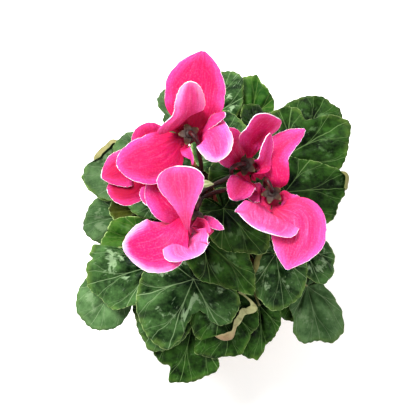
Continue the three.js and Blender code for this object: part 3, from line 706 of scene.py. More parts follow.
# Where a blade's outline leaves the plain heart: pairs of an angle from its tip, in degrees, and its reach
# there as a share of the heart's.
OUTLINES = {
    1: [(-47, 1.12), (0, 1.05)],
    2: [(-10, 1.15), (10, 0.94), (38, 0.8), (80, 1)],
    3: [
        (-69, 1), (-50, 1.08), (-31, 1.06), (-9, 0.98), (17, 0.98), (43, 1.02), (58, 0.94), (75, 0.78),
        (110, 0.95),
    ],
    4: [(-30, 1.05), (30, 0.95)],
    5: [
        (-80, 1), (-36, 1.14), (-11, 1), (2, 0.84), (9, 0.73), (26, 0.75), (38, 0.76), (64, 0.87),
        (100, 0.92),
    ],
    6: [
        (-90, 0.8), (-58, 0.75), (-50, 0.76), (-42, 0.98), (-31, 1), (-4, 0.88), (22, 1.05), (36, 1.12),
        (52, 1.02), (60, 0.85), (80, 0.6),
    ],
    7: [
        (-90, 1), (-48, 1), (-35, 0.94), (-18, 0.81), (-12, 1.03), (2, 0.93), (30, 0.96), (52, 1.07),
        (64, 0.82), (100, 1),
    ],
    8: [(-30, 1), (15, 0.9), (50, 0.95)],
    9: [
        (-80, 1), (-42, 1.08), (-33, 1.25), (-17, 1.12), (2, 0.94), (18, 0.95), (34, 0.8), (48, 0.72),
        (76, 0.84), (120, 1),
    ],
    10: [(-100, 1), (-61, 1.1), (-33, 0.92), (-5, 0.9), (12, 1.04), (50, 1)],
    11: [(-40, 1.05), (-10, 0.9), (30, 1.1)],
    12: [(-50, 1.08), (-25, 1.13), (-9, 1.01), (11, 1), (31, 1.05), (53, 1.1)],
    13: [(-62, 1.05), (-34, 0.92), (-10, 0.87), (6, 1.05), (32, 1.16), (80, 1)],
    14: [(-40, 1.05), (-13, 1.09), (8, 0.95), (20, 0.83), (28, 0.6), (48, 0.68), (90, 0.9)],
    15: [(-80, 1), (-47, 1.17), (-30, 1.06), (-5, 0.83), (28, 0.77), (49, 0.73), (100, 0.9)],
    16: [(-90, 0.9), (-60, 0.95), (-45, 1.24), (-30, 1.1), (-12, 1.04), (14, 1.13), (47, 1.05)],
    17: [
        (-85, 0.7), (-52, 0.72), (-38, 0.98), (-18, 1.1), (-1, 0.98), (17, 0.99), (28, 0.79), (46, 0.72),
        (68, 0.96), (82, 0.6), (120, 0.9),
    ],
    18: [
        (-100, 0.6), (-62, 0.52), (-50, 0.9), (-43, 1.24), (-34, 1.19), (-29, 1.07), (-24, 1.12),
        (-8, 1.02), (19, 0.95), (41, 1.02), (56, 0.9), (75, 0.8), (120, 1),
    ],
    19: [(-93, 0.96), (-47, 0.99), (-24, 1.08), (13, 1)],
    20: [(-42, 0.95), (-25, 1.14), (0, 1.06), (24, 1.2), (80, 1)],
    21: [
        (-80, 0.95), (-21, 0.96), (-2, 1.04), (8, 0.98), (31, 0.72), (48, 0.96), (59, 1.06), (80, 1.15),
        (120, 1),
    ],
    22: [(-27, 0.8), (10, 0.92), (38, 1.05), (80, 1), (110, 0.85)],
    23: [(-40, 0.92), (0, 1.05), (40, 0.95)],
    24: [
        (-100, 0.8), (-57, 0.93), (-42, 1.14), (-28, 1.12), (7, 1.01), (25, 1.05), (46, 1.02), (68, 1.07),
        (110, 1),
    ],
    25: [(-80, 1), (-50, 1.05), (-20, 0.91), (0, 1), (14, 1.11), (34, 0.96), (60, 0.94), (79, 1.06)],
    27: [(-90, 0.9), (-55, 0.84), (-30, 1), (40, 1)],
    28: [
        (-120, 1), (-31, 0.99), (-15, 1.01), (0, 0.99), (9, 0.82), (15, 0.57), (21, 0.46), (35, 0.45),
        (43, 0.54), (48, 0.74), (56, 0.9), (66, 1), (88, 1.1), (110, 0.98),
    ],
    29: [(-50, 0.94), (0, 1.05), (45, 0.95)],
    31: [
        (-110, 0.94), (-82, 0.94), (-67, 1.01), (-42, 0.86), (-29, 0.9), (-10, 1.02), (10, 0.88),
        (31, 0.82), (70, 0.98),
    ],
    32: [(-60, 1.04), (-20, 0.92), (15, 1.04), (50, 0.94)],
}


def heart_radius(angle):
    """A blade's outline round the stalk's end, for a blade one unit long."""
    blunt = 0.03 * np.exp(-((angle / 0.25) ** 2))
    return 0.64 + 0.3 * np.cos(angle) + 0.03 * np.cos(2 * angle) + blunt


def bay(angle):
    """The narrow bay between the two back lobes."""
    return 1 - 0.75 * np.exp(-(((np.pi - np.abs(angle)) / 0.28) ** 2))


def outline(index, angle):
    """A leaf's own reach as a share of the heart's, with an S-shaped step between each two given places."""
    degrees, reaches = np.array([(-180, 1.0), *OUTLINES.get(index + 1, []), (180, 1.0)]).T
    turn = np.degrees(angle)
    k = np.clip(np.searchsorted(degrees, turn, side="right") - 1, 0, len(degrees) - 2)
    return reaches[k] + (reaches[k + 1] - reaches[k]) * smoothstep(turn, degrees[k], degrees[k + 1])


def side_scale(leaf):
    """Millimetres across a blade for one unit across the heart."""
    return leaf.width / 2 / UNIT_HALF_WIDTH


# %% [markdown]
# ### Leaves on leaves
#
# On the plant, each leaf is pushed up by those under it. A simulation could lay them, but a formula gives
# the same heap every time. From the lowest leaf up, the height at any place is the leaf's own arch, raised
# smoothly to a small gap over each lower leaf that is there.

# %% How each leaf lies on the rest
def place_on_leaf(index, x, y):
    """Along and across in the leaf's units, the angle round the stalk's end, the share of the way out."""
    leaf = LEAVES[index]
    turn = np.radians(leaf.heading)
    dx, dy = x - leaf.x, y - leaf.y
    along = (dx * np.cos(turn) + dy * np.sin(turn)) / leaf.length
    across = (dy * np.cos(turn) - dx * np.sin(turn)) / side_scale(leaf)
    angle = np.arctan2(across, along)
    lobe = np.maximum(outline(index, angle), 1)
    return along, across, angle, np.hypot(along, across) / heart_radius(angle) / lobe


def own_height(index, x, y):
    """A leaf arches down to its tip and its sides, and its margin is waved."""
    leaf = LEAVES[index]
    along, across, angle, share = place_on_leaf(index, x, y)
    wave = np.minimum(share, 1.2) ** 2 * np.sin(WAVES_AROUND * angle + 2.4 * index)
    arch = leaf.drop * along + LEAF_ARCH * along**2 + LEAF_CROWN * (across / UNIT_HALF_WIDTH) ** 2
    return leaf.z - arch + MARGIN_WAVE * wave


def resting_height(index, x, y):
    """Each lower leaf lifts those above it clear of itself, wholly over its blade, less past its margin."""
    heights = []
    for i in range(index + 1):
        height = own_height(i, x, y)
        for j, below in enumerate(heights):
            cover = 1 - smoothstep(place_on_leaf(j, x, y)[3], 1, 1 + REST_REACH)
            lift = below + LEAF_GAP - height
            height = height + cover * 0.5 * (lift + np.hypot(lift, REST_SOFTNESS))
        heights.append(height)
    return heights[index]


def blade_seat(index):
    """The point at which a blade sits on its stalk."""
    x, y = np.float64(LEAVES[index].x), np.float64(LEAVES[index].y)
    return np.array([x, y, resting_height(index, x, y)])


def foot_on_tuber(ring, degrees, radius):
    """A point just clear of the tuber's dome."""
    rise = TUBER_HALF_HEIGHT * np.sqrt(1 - (ring / TUBER_RADIUS) ** 2)
    slope = (TUBER_HALF_HEIGHT / TUBER_RADIUS) * (ring / TUBER_RADIUS)
    return polar(ring, degrees, SOIL_LEVEL + rise + SEAT_GAP + slope * radius + 0.1)


def leaf_stalk_path(index, steps):
    """A cubic Bezier from the tuber: up first, and then out to the blade."""
    outer_ring = index < OUTER_LEAVES
    members = range(OUTER_LEAVES) if outer_ring else range(OUTER_LEAVES, len(LEAVES))
    order = sorted(members, key=lambda i: np.arctan2(LEAVES[i].y, LEAVES[i].x))
    degrees = -180 + 360 * (order.index(index) + 0.5) / len(order)
    foot = foot_on_tuber(OUTER_FEET_RING if outer_ring else INNER_FEET_RING, degrees, STALK_FOOT_RADIUS)
    end = blade_seat(index) - [0, 0, 0.2]
    outward = (end - foot) * [1, 1, 0]
    rising = foot + 0.12 * outward + [0, 0, 0.6 * (end[2] - foot[2]) + 10]
    arriving = end - 0.4 * outward + [0, 0, np.clip(0.6 * (LEVEL_ARRIVAL_HEIGHT - end[2]), -9, 9)]
    u = np.linspace(0, 1, steps + 1)[:, None]
    path = (1 - u)**3 * foot + 3 * (1 - u)**2 * u * rising + 3 * (1 - u) * u**2 * arriving + u**3 * end
    return path, np.array([-outward[1], outward[0], 0.0])


# %% [markdown]
# ### The blade's finish
#
# A cyclamen leaf has light veins that leave the stalk's end like fingers and fork on their way out, silver
# blotches in a broken ring between them, and a thin yellow-green line round its finely scalloped margin.
# All of this follows the blade, so it is worked out from where a point lies on the heart: the marks along,
# across and share. The blotches come from noise cut off at a level.

# %% Veins and marbling
VEINS = 7
TONES = {
    # dark ground, light ground, silver, vein, how much silver, how yellow the margin
    "deep": ((0, 15, 0), (54, 90, 34), (104, 138, 88), (116, 148, 88), 0.4, 0.6),
    "marbled": ((3, 27, 4), (70, 104, 56), (134, 160, 120), (134, 162, 114), 0.75, 0.75),
    "pale": ((52, 80, 44), (92, 124, 78), (134, 158, 118), (134, 158, 116), 0.4, 0.4),
    "fresh": ((28, 72, 14), (76, 120, 42), (116, 150, 90), (140, 168, 90), 0.3, 1.0),
    "olive": ((50, 58, 14), (92, 96, 36), (112, 118, 78), (136, 142, 76), 0.3, 1.0),
}
SHADED_GREEN = colour(0, 14, 0)
SUNLIT_GREEN = colour(150, 178, 110)
MARGIN_GREEN = colour(104, 132, 58)
EDGE_GREEN = colour(162, 186, 116)


def vein_pattern(finish):
    """How near a vein is, the angle counted in main veins, and how far it is off a whole number."""
    along, across = finish.mark("along"), finish.mark("across")
    wobble = (finish.noise(finish.position(), 45, 2) - 0.5) * 0.5
    angle = finish.maths("ARCTAN2", across, along) * (VEINS / (2 * np.pi)) + wobble * 0.35
    reach = finish.maths("SQRT", along * along + across * across)
    off = abs(angle - finish.maths("ROUND", angle))
    width = reach * (2 * np.pi / VEINS)
    main = (off * width).fall(0.002, 0.011)
    fork = abs(off - reach.rise(0.22, 0.95) * 0.3)
    forks = (fork * width).fall(0.0015, 0.008) * reach.rise(0.24, 0.34)
    twig = abs(off - 0.15 - reach.rise(0.5, 1.0) * 0.32)
    twigs = (twig * width).fall(0.001, 0.006) * reach.rise(0.52, 0.6)
    return main.at_least((forks * 0.75).at_least(twigs * 0.5)), angle, off


def leaf_finish(tone):
    """The upper side of a blade in one of the tones."""
    *tints, silvered, yellow = TONES[tone]
    dark, light, silver, vein = (colour(*tint) for tint in tints)
    leaf = Finish(f"leaf_{tone}", Specular_IOR_Level=0.06)
    share, shade, number = leaf.mark("share"), leaf.mark("shade"), leaf.mark("number")
    place = leaf.position()
    veins, angle, off = vein_pattern(leaf)
    # the ground, and silver in a broken ring and in short strokes between the veins
    # the ground carries painted shade towards the stalk's end and painted light towards the margin
    patches_and_painted_shade = leaf.noise(place, 60, 6, 0.7) + (share - 0.5) * 0.14
    body = leaf.mix(dark, light, patches_and_painted_shade.rise(0.35, 0.76))
    ring = share + (leaf.drawn(angle * 6, share * 1.6, number, 5, 0.7) - 0.5) * 0.6
    blotch = ring.rise(0.46, 0.5) * ring.fall(0.66, 0.72) * off.rise(0.06, 0.16)
    broken = leaf.noise(place, 46, 4, 0.7).rise(0.5, 0.58)
    body = leaf.mix(body, silver, blotch * broken * silvered)
    strokes = leaf.drawn(angle * 16, share * 6, number + 5, 3)
    body = leaf.mix(body, silver, strokes.rise(0.62, 0.72) * silvered * 0.6)
    # the veins, and the blade's own shade: partly its own tone and partly painted shade
    body = leaf.mix(body, vein, veins * (0.3 + leaf.noise(place, 60, 2) * 0.6))
    body = leaf.mix(body, SHADED_GREEN, (shade * -1.0).at_least(0.0))
    body = leaf.mix(body, SUNLIT_GREEN, shade.at_least(0.0))
    # the margin and the thin line at its very edge
    margin = share.rise(0.88, 1.0) * leaf.noise(place, 90, 3).rise(0.4, 0.62)
    body = leaf.mix(body, MARGIN_GREEN, margin * yellow * 0.55)
    line_start = 0.985 - 0.06 * max(yellow - 0.75, 0)
    edge_line = share.rise(line_start, 0.998) * leaf.noise(place, 420, 2).rise(0.36, 0.56)
    body = leaf.mix(body, EDGE_GREEN, edge_line * yellow)
    # pores, sunk veins and a quilted blade between them
    quilted = off.rise(0.0, 0.34) * share.rise(0.0, 0.4)
    relief = leaf.noise(place, 1500, 2) * 0.25 + leaf.noise(place, 220, 3) * 0.5
    relief = relief - veins * 0.7 + quilted * 5 + leaf.noise(place, 75, 2) * 7
    return leaf.paint(body, 0.42 + 0.2 * leaf.noise(place, 60, 3), relief, 0.0005)


# %% [markdown]
# The underside shows wherever a margin curls over. It is matte and paler, and its veins stand out instead
# of being sunk, so it reads the same vein pattern with the relief the other way up. A leaf's stalk is red
# below and turns green towards the blade. A mark that grows along the stalk tells its finish how far up
# a point is.

# %% The underside and the stalk
UNDER_MOTTLE = colour(70, 74, 26)
UNDER_VEIN = colour(146, 148, 96)
STALK_RED = colour(104, 42, 38)
STALK_GREEN = colour(112, 112, 66)
STALK_MOTTLE = colour(70, 26, 26)


def under_finish(name, ground, blush):
    """The underside: one tint with another flushed over it, mottled, between raised veins."""
    under = Finish(name, Specular_IOR_Level=0.2)
    place = under.position()
    veins = vein_pattern(under)[0]
    body = under.mix(ground, blush, under.noise(place, 26, 3).rise(0.4, 0.65) * 0.7)
    body = under.mix(body, UNDER_MOTTLE, under.noise(place, 240, 4).rise(0.5, 0.72) * 0.5)
    body = under.mix(body, UNDER_VEIN, veins * 0.5)
    return under.paint(body, 0.6, veins * 0.6 + under.noise(place, 300, 3) * 0.4, 0.0005)


def leaf_stalk_finish():
    """A leaf's stalk: dull red below and green at the blade."""
    stalk = Finish("leaf_stalk", Specular_IOR_Level=0.4)
    place = stalk.position()
    body = stalk.mix(STALK_RED, STALK_GREEN, stalk.mark("rise").rise(0.3, 1.0))
    body = stalk.mix(body, STALK_MOTTLE, stalk.noise(place, 400, 3) * 0.4)
    return stalk.paint(body, 0.5, stalk.noise(place, 900, 2), 0.0002)


LEAF_FINISHES = {tone: leaf_finish(tone) for tone in TONES}
UNDER = under_finish("leaf_under", colour(100, 108, 56), colour(128, 118, 78))
BLUSHED = under_finish("leaf_blushed", colour(160, 160, 112), colour(120, 70, 64))
LEAF_STALK = leaf_stalk_finish()
print("leaf tones:", ", ".join(LEAF_FINISHES))

# %% [markdown]
# ### The blade's form
#
# Points lie on rings round the stalk's end. The last ring is scalloped, the blade is sunk along the veins
# and puffed up between them, and the whole is laid at its resting height.

# %% Rings, scallops and curled margins
SCALLOP_PITCH = 5.0
POINTS_A_SCALLOP = 5
SCALLOP_DEPTH = 1.3
RING_PITCH = 3.6
FEWEST_RINGS = 9
MOST_RINGS = 20
CURL_RINGS = 12
PUFF = 1.6
CRINKLE = 0.6
NOTCH_DIP = 4.0
STALK_STEPS = 26
STALK_SIDES = 12

# Margins that curl up and over and show their paler side: the middle and the half width of the curled
# stretch, in degrees from the tip, and how far its edge comes back over the blade.
CURLS = {
    16: (-32, 34, 5.0),
    17: (46, 66, 5.0),
    18: (-72, 30, 5.0),
    24: (-82, 26, 4.5),
    25: (8, 16, 3.0),
}
BLUSHED_LEAF = 17
CURL_RADIUS = 1.4
CURL_TURN = np.radians(165)
FLAT_SHARE = 0.72


def curled(share, angle, reach, curl):
    """Where a share of the way out comes to lie in the blade, how high, and how much it is curled there."""
    middle, spread, back = curl
    much = 1 - smoothstep(np.abs(np.degrees(angle) - middle), 0.5 * spread, spread)
    flat = reach - CURL_RADIUS
    rolled = np.maximum(share - FLAT_SHARE, 0) / (1 - FLAT_SHARE) * (CURL_RADIUS * CURL_TURN + back)
    turn = np.minimum(rolled / CURL_RADIUS, CURL_TURN)
    straight = np.maximum(rolled - CURL_RADIUS * CURL_TURN, 0)
    out = flat * np.minimum(share / FLAT_SHARE, 1)
    out = out + CURL_RADIUS * np.sin(turn) + straight * np.cos(CURL_TURN)
    up = CURL_RADIUS * (1 - np.cos(turn)) + straight * np.sin(CURL_TURN)
    return share + (out / reach - share) * much, up * much, much


# %% A blade's surface
def blade_surface(index):
    """Points on rings round the stalk's end, with the marks that its finish reads."""
    leaf, curl = LEAVES[index], CURLS.get(index + 1)
    size = (leaf.length + leaf.width) / 2
    scallops = int(round(UNIT_ROUND * size / SCALLOP_PITCH))
    around = POINTS_A_SCALLOP * scallops
    angle = -np.pi + 2 * np.pi * (np.arange(around) + 0.5) / around
    rings = int(np.clip(round(size / RING_PITCH), FEWEST_RINGS, MOST_RINGS))
    share = (np.arange(1, rings + 1) / rings) ** 0.9
    if curl:
        rolled = np.linspace(FLAT_SHARE, 1, CURL_RINGS + 1)
        share = np.concatenate([np.linspace(0, FLAT_SHARE, rings)[1:], rolled[1:]])
    share = share[:, None]
    # the margin: scallops, and a slow unevenness
    scallop = np.abs(np.sin(scallops * (angle + np.pi) / 2)) ** 0.7 - 0.62
    unevenness = 0.012 * np.sin(3 * angle + index) + 0.010 * np.sin(7 * angle + 2.3 * index)
    grown = share + share**10 * (scallop * SCALLOP_DEPTH / size + unevenness)
    whole = heart_radius(angle) * bay(angle) * outline(index, angle)
    up, much = 0, 0
    if curl:
        length = whole * np.hypot(leaf.length * np.cos(angle), side_scale(leaf) * np.sin(angle))
        grown, up, much = curled(grown, angle, length, curl)
    # from the heart to the plant
    reach = grown * whole
    along, across = reach * np.cos(angle), reach * np.sin(angle)
    forward, sideways = leaf.length * along, side_scale(leaf) * across
    turn = np.radians(leaf.heading)
    x = leaf.x + forward * np.cos(turn) - sideways * np.sin(turn)
    y = leaf.y + forward * np.sin(turn) + sideways * np.cos(turn)
    # the height: at rest, puffed up between the veins, crinkled, and dipped where the outline is notched
    off = angle * VEINS / (2 * np.pi)
    off = np.abs(off - np.round(off))
    puff = PUFF * np.sin(np.pi * np.minimum(share, 1)) * (np.sin(np.pi * off) ** 2 - 0.5) * size / 60
    crinkle = CRINKLE * share * ripple(x * 0.22, y * 0.22, index)
    notch = NOTCH_DIP * np.maximum(1 - outline(index, angle), 0) * share**3
    z = resting_height(index, x, y) + puff + crinkle + up - notch
    points = np.concatenate([blade_seat(index)[None], np.stack([x, y, z], axis=2).reshape(-1, 3)])
    marks = {
        "along": np.concatenate([[0], along.ravel()]),
        "across": np.concatenate([[0], across.ravel()]),
        "share": np.concatenate([[0], (share * (1 - 0.1 * much) + 0 * along).ravel()]),
        "number": np.full(len(points), 3.7 * index),
        "shade": np.full(len(points), SHADES.get(index + 1, 0.0)),
    }
    k = np.arange(around)
    fan = np.stack([0 * k, 1 + k, 1 + (k + 1) % around], axis=1)
    faces = [fan, grid_faces(len(share), around, closed=True)[:, ::-1] + 1]
    edge = 1 + (len(share) - 1) * around + k
    return points, faces, edge, marks


# %% Make the leaves
leaf_faces = 0
for index, leaf in enumerate(LEAVES):
    skin = Skins()
    points, faces, edge, marks = blade_surface(index)
    skin.add_sheet(points, faces, edge, BLADE_THICKNESS, (0, 1), marks)
    path, flat = leaf_stalk_path(index, STALK_STEPS)
    rise = np.linspace(0, 1, len(path))
    radii = STALK_FOOT_RADIUS + (STALK_TOP_RADIUS - STALK_FOOT_RADIUS) * rise
    skin.add_stalk(path, radii, flat, STALK_SIDES, 2, {"rise": np.repeat(rise, STALK_SIDES)})
    name = f"leaf_{index + 1:02d}"
    finishes = [LEAF_FINISHES[leaf.tone], BLUSHED if index + 1 == BLUSHED_LEAF else UNDER, LEAF_STALK]
    made = skin.piece(f"{name}_fine", finishes, "leaf", name)
    leaf_faces += len(made.data.polygons)
print("leaves:", len(LEAVES), "with", leaf_faces, "faces")

# %% [markdown]
# ## The flowers
#
# A cyclamen's flower hangs mouth down, and its five petals turn sharply back and stand up over it. Each petal
# is a strip along a bent midline: its width swells and closes again, it twists as it rises, and it is cupped
# and ruffled. White runs round its margin, its edge line partly painted highlight, fine streaks run along it,
# it darkens to maroon at the tube, partly with painted shade, and petals that lie in shadow get painted
# crimson shade.

# %% Where each flower and its petals are
PETAL_THICKNESS = 0.6
TUBE_HALF_WIDTH = 1.6
TIP_HALF_WIDTH = 0.15
PETAL_ROWS = 64
PETAL_COLUMNS = 25
RAGGED = 0.11
FLARE_PLACE = 0.3
FLARE_SPREAD = 0.12

# A flower's name; the middle of its calyx; the side that it nods to and how far, in degrees; the side of
# the tuber that its stalk starts on, and the points that the stalk goes through; its petals.
Bloom = namedtuple("Bloom", "name middle side nod foot through petals")

# The side that a petal leaves the tube on; its middle and its tip, from the calyx; its half widths to the
# left and right; where it is widest; how blunt it is, least being bluntest; its cup; the width of its white
# margin, whose edge line is partly painted highlight; how crimson it is, partly its own colour and partly
# painted shade where it lies in shadow; and how ruffled it is. Some also have a point that they pass by, a
# swing of their own (otherwise they face the way their tip lies), a turn about the midline, and a flare low on
# either side.
PETAL_PARTS = "side middle tip half widest blunt cup rim crimson ruffle by swing turn flare"
Petal = namedtuple("Petal", PETAL_PARTS, defaults=(None, None, 0, (0, 0)))
BLOOMS = [
    Bloom("bloom_1", (-17, 37, 232), -54, 12, 90, [(-13, 17, 145), (-9, 28, 170)], [
        Petal(62, (5, 31, 4), (10, 57, 20), (25, 22), 0.5, 0.72, 0.12, 0.9, 0.3, 1.0),
        Petal(134, (-1, 12, 14), (1, 27, 34), (10, 12), 0.64, 0.5, 0.2, 1.2, -0.06, 0.7,
              turn=12, flare=(16, 13)),
        Petal(206, (-26, -16, -2), (-52, -27, 6), (21, 18), 0.54, 0.55, 0.12, 0.8, 0.45, 0.6),
        Petal(258, (0, -14, 2), (3, -27, 12), (3, 6), 0.55, 0.55, 0.1, 0.1, 0.5, 0.5, turn=80),
        Petal(352, (15, -3, 5), (22, -24, 11), (15, 13), 0.6, 0.5, 0.15, 1.2, -0.04, 0.8, flare=(8, 0)),
        # a petal's margin that is rolled up beside it
        Petal(10, (17, 9, 7), (26, 13, 9), (4.5, 4), 0.8, 0.35, 0.5, 0.9, 0.8, 0.6, turn=-15),
    ]),
    Bloom("bloom_2", (-13, -19, 216), 75, 50, 270, [(-11, 5, 150)], [
        Petal(255, (-8, 4, 22), (-11, 24, 38), (17, 17), 0.86, 0.46, 0.1, 1.0, -0.16, 0.5,
              by=(-5, -16, 3), swing=10),
        Petal(327, (-3, -22, 2), (0, -35, 8), (14, 22), 0.66, 0.5, 0.12, 1.1, -0.13, 0.3,
              swing=-28, flare=(4, 0)),
        Petal(183, (-27, -20, -4), (-52, -27, 4), (24, 19), 0.5, 0.55, 0.12, 1.3, 0.02, 0.6),
        Petal(111, (-20, 8, 0), (-33, 25, 8), (14, 14), 0.6, 0.55, 0.15, 0.9, 0.12, 0.6),
        Petal(39, (11, -6, -2), (21, -12.5, 0), (4, 4.5), 0.5, 0.55, 0.1, 0.9, 0.1, 0.4),
    ]),
    Bloom("bloom_3", (-48, 20, 203), -20, 15, 150, [(-18, 13, 150)], [
        Petal(18, (10, 6, 4), (19, 11, 12), (10, 8), 0.6, 0.55, 0.15, 0.8, 0.45, 0.5),
        Petal(90, (0, 19, 0), (1, 33, 10), (15, 15), 0.6, 0.55, 0.15, 0.8, 0.65, 0.5),
        Petal(162, (-18, 1, 0), (-36, -10, 6), (15, 14), 0.5, 0.75, 0.15, 0.8, 0.75, 0.5),
        Petal(234, (-15, -15, -4), (-32, -18, 0), (13, 13), 0.6, 0.55, 0.15, 0.8, 1.0, 0.5),
        Petal(306, (2, -15, -4), (0, -31, 3), (9, 9), 0.6, 0.55, 0.15, 0.5, 0.5, 0.5),
    ]),
    Bloom("bloom_4", (25, 20, 210), 198, 20, 30, [(-8, 14, 150)], [
        Petal(154, (-15, 12, 2), (-28, 22, 6), (11, 19), 0.58, 0.6, 0.12, 0.9, 0.35, 0.7),
        Petal(232, (-4, -12, -4), (-10.5, -25, -8), (12, 9), 0.58, 0.55, 0.15, 0.8, 0.4, 0.5,
              swing=14, flare=(6, 0)),
        Petal(298, (15.2, 5, 3.3), (17.5, 20, 15), (7.5, 7), 0.6, 0.55, 0.1, 0.9, 0.2, 0.3,
              by=(9.5, -5, -6), turn=70, flare=(1.5, 0)),
        Petal(10, (9, 2, -12), (11, 3, -19), (5, 5), 0.6, 0.55, 0.1, 0.1, 0.9, 0.3),
        Petal(82, (8, 18, 4), (24, 32, 15), (22, 13), 0.8, 0.36, 0.1, 0.9, 0.25, 0.5, swing=40),
    ]),
    Bloom("bloom_5", (45, 0, 203), 116, 15, 330, [(-8, 9, 150), (2, 11, 166), (22, 12, 177)], [
        Petal(152, (-9.5, 3, -7), (-19, 1, -10), (8, 7.5), 0.6, 0.55, 0.15, 0.8, 0.8, 0.3),
        Petal(224, (-3.5, -20.5, 5), (-7.5, -33, 11), (25, 25), 0.66, 0.5, 0.08, 1.1, -0.1, 0.8, swing=19),
        Petal(296, (20, -22, -2), (10, -59, 0), (22, 21), 0.52, 0.88, 0.12, 1.0, -0.03, 0.8),
        Petal(8, (16, -6, -11), (26, -12, -16), (9, 9), 0.6, 0.55, 0.15, 0.6, 0.3, 0.5),
        Petal(80, (6, 29, 7), (25, 46, 14), (14, 8), 0.52, 0.7, 0.15, 0.9, 0.15, 0.6, by=(6, 11, 0)),
    ]),
]
BUD = Bloom("bud", (-12, 11, 192), 180, 80, 210, [(-18, 9, 150)], [])
print("flowers:", len(BLOOMS), "with", sum(len(bloom.petals) for bloom in BLOOMS), "petals and rolled margins")


# %% How a petal's rows swing and turn
# The way that a petal's midline takes down and out of the tube: distances from its middle, and heights.
TUBE_WAY = [(4.2, -6), (5.9, -9.4), (9.6, -9.2)]


def nodding(bloom):
    """A flower leans away from its stalk: points made round an upright axis are turned with it."""
    return turning(polar(1, bloom.side + 90), bloom.nod)


def petal_width(t, widest, blunt):
    """The half width along a petal as a share of the widest: narrow at the tube, blunt at the tip."""
    egg = np.maximum(np.sin(np.pi * t ** (np.log(0.5) / np.log(widest))), 0) ** blunt
    return egg * smoothstep(t, -0.2, 0.26)


def about(vectors, axes, degrees):
    """Turns each vector about its own axis: along the axis it stays, and across it it goes round."""
    angle = np.radians(degrees)[:, None]
    straight = axes * np.sum(vectors * axes, axis=1, keepdims=True)
    turned = vectors * np.cos(angle) + np.cross(axes, vectors) * np.sin(angle)
    return turned + straight * (1 - np.cos(angle))


def petal_rows(bloom, petal, t):
    """For each row its middle, the direction across it and the one out of its face, which swing with t."""
    lean = nodding(bloom)
    tube = np.array([polar(out, petal.side, height) for out, height in TUBE_WAY]) @ lean
    given = [np.array(point, float) for point in (petal.by, petal.middle, petal.tip) if point is not None]
    centre = path_through([*tube, *given], len(t) - 1, rows=t)
    tangent = np.gradient(centre, t, axis=0)
    tangent /= np.linalg.norm(tangent, axis=1, keepdims=True)
    own = (np.degrees(np.arctan2(petal.tip[1], petal.tip[0])) - petal.side + 180) % 360 - 180
    gone = smoothstep(t, 0.1, 0.6)
    swung = np.radians(petal.side + (own if petal.swing is None else petal.swing) * gone + 90)
    across = np.stack([np.cos(swung), np.sin(swung), 0 * t], axis=1)
    across = across * gone[:, None] + (polar(1, petal.side + 90) @ lean) * (1 - gone)[:, None]
    across -= tangent * np.sum(across * tangent, axis=1, keepdims=True)
    across /= np.linalg.norm(across, axis=1, keepdims=True)
    across = about(across, tangent, petal.turn * gone)
    return centre, across, np.cross(across, tangent)


# %% A petal's surface
def petal_surface(bloom, petal, seed):
    """Rows across the midline, t along it and s from edge to edge: cupped, ruffled and ragged."""
    t = np.sin(np.linspace(0, 1, PETAL_ROWS) * np.pi / 2) ** 1.15
    s = np.sin(np.linspace(-1, 1, PETAL_COLUMNS) * np.pi / 2)
    centre, across, normal = petal_rows(bloom, petal, t)
    t = t[:, None]
    # the half width: it swells and closes, is flared low down, and is waved and ragged
    half = np.where(s < 0, petal.half[1], petal.half[0])
    wide = half * petal_width(t, petal.widest, petal.blunt)
    wide = np.maximum(wide, np.where(t < 0.5, TUBE_HALF_WIDTH, TIP_HALF_WIDTH))
    wide = wide + np.exp(-(((t - FLARE_PLACE) / FLARE_SPREAD) ** 2)) * np.where(s > 0, *petal.flare)
    wide = wide * (1 + 0.03 * np.sin(9 * t + seed) * np.abs(s) + 0.015 * np.sin(23 * t + 2 * seed))
    ragged = np.sin(47 * t + 3 * seed) + np.sin(71 * t + 5 * seed) + np.sin(109 * t + seed)
    wide = wide + RAGGED * smoothstep(t, 0.3, 0.5) * ragged
    # how far off its row a point is: cupped, ruffled at the margin, and faintly pleated past the tube
    ruffle = petal.ruffle * smoothstep(t, 0.2, 0.6) * s**4 * np.sin(11 * t + 2.2 * np.sign(s) + seed) * 1.2
    pleats = 0.12 * np.sin(5.5 * np.pi * s) * smoothstep(t, 0.1, 0.3) * (1 - s**2)
    lift = petal.cup * wide * s**2 + ruffle + pleats
    points = centre[:, None] + across[:, None] * (s * wide)[:, :, None] + normal[:, None] * lift[:, :, None]
    # how far in from the edge a point is, counted as far in where the margin is bare of white
    length = np.linalg.norm(np.diff(centre, axis=0), axis=1).sum()
    inset = np.minimum((1 - np.abs(s)) * wide, (1 - t) * length * 1.4)
    bare = (0.22, 0.42) if petal.by is None else (0.36, 0.56)
    marks = {
        "along": t,
        "across": s * half,
        "inset": inset + 9 * (1 - smoothstep(t, *bare)),
        "rim": petal.rim,
        "crimson": petal.crimson,
        "seed": seed,
    }
    marks = {name: np.broadcast_to(value, wide.shape).ravel() for name, value in marks.items()}
    return points.reshape(-1, 3) + bloom.middle, marks


# %% [markdown]
# ### The flowers' finishes
#
# The streaks are noise that is stretched along the petal: it reads the distance across in full and the
# distance along only a little. The white margin follows the mark inset, the distance in from the edge, and its
# edge line is partly painted highlight.

# %% The petals' pinks
HOT_PINK = colour(186, 17, 86)
COOL_PINK = colour(234, 84, 176)
PALE_STREAK = colour(244, 136, 212)
DARK_STREAK = colour(172, 10, 66)
DARK_BLOTCH = colour(182, 8, 76)
DARK_GRAIN = colour(160, 10, 66)
PALE_GRAIN = colour(255, 150, 204)
CRIMSON_AND_PAINTED_SHADE = colour(142, 8, 50)
LILAC = colour(250, 158, 226)
THROAT_RED = colour(166, 12, 62)
MAROON = colour(92, 8, 32)
FROST_PINK = colour(255, 206, 236)
WHITE_RIM_AND_HIGHLIGHT = colour(255, 232, 244)


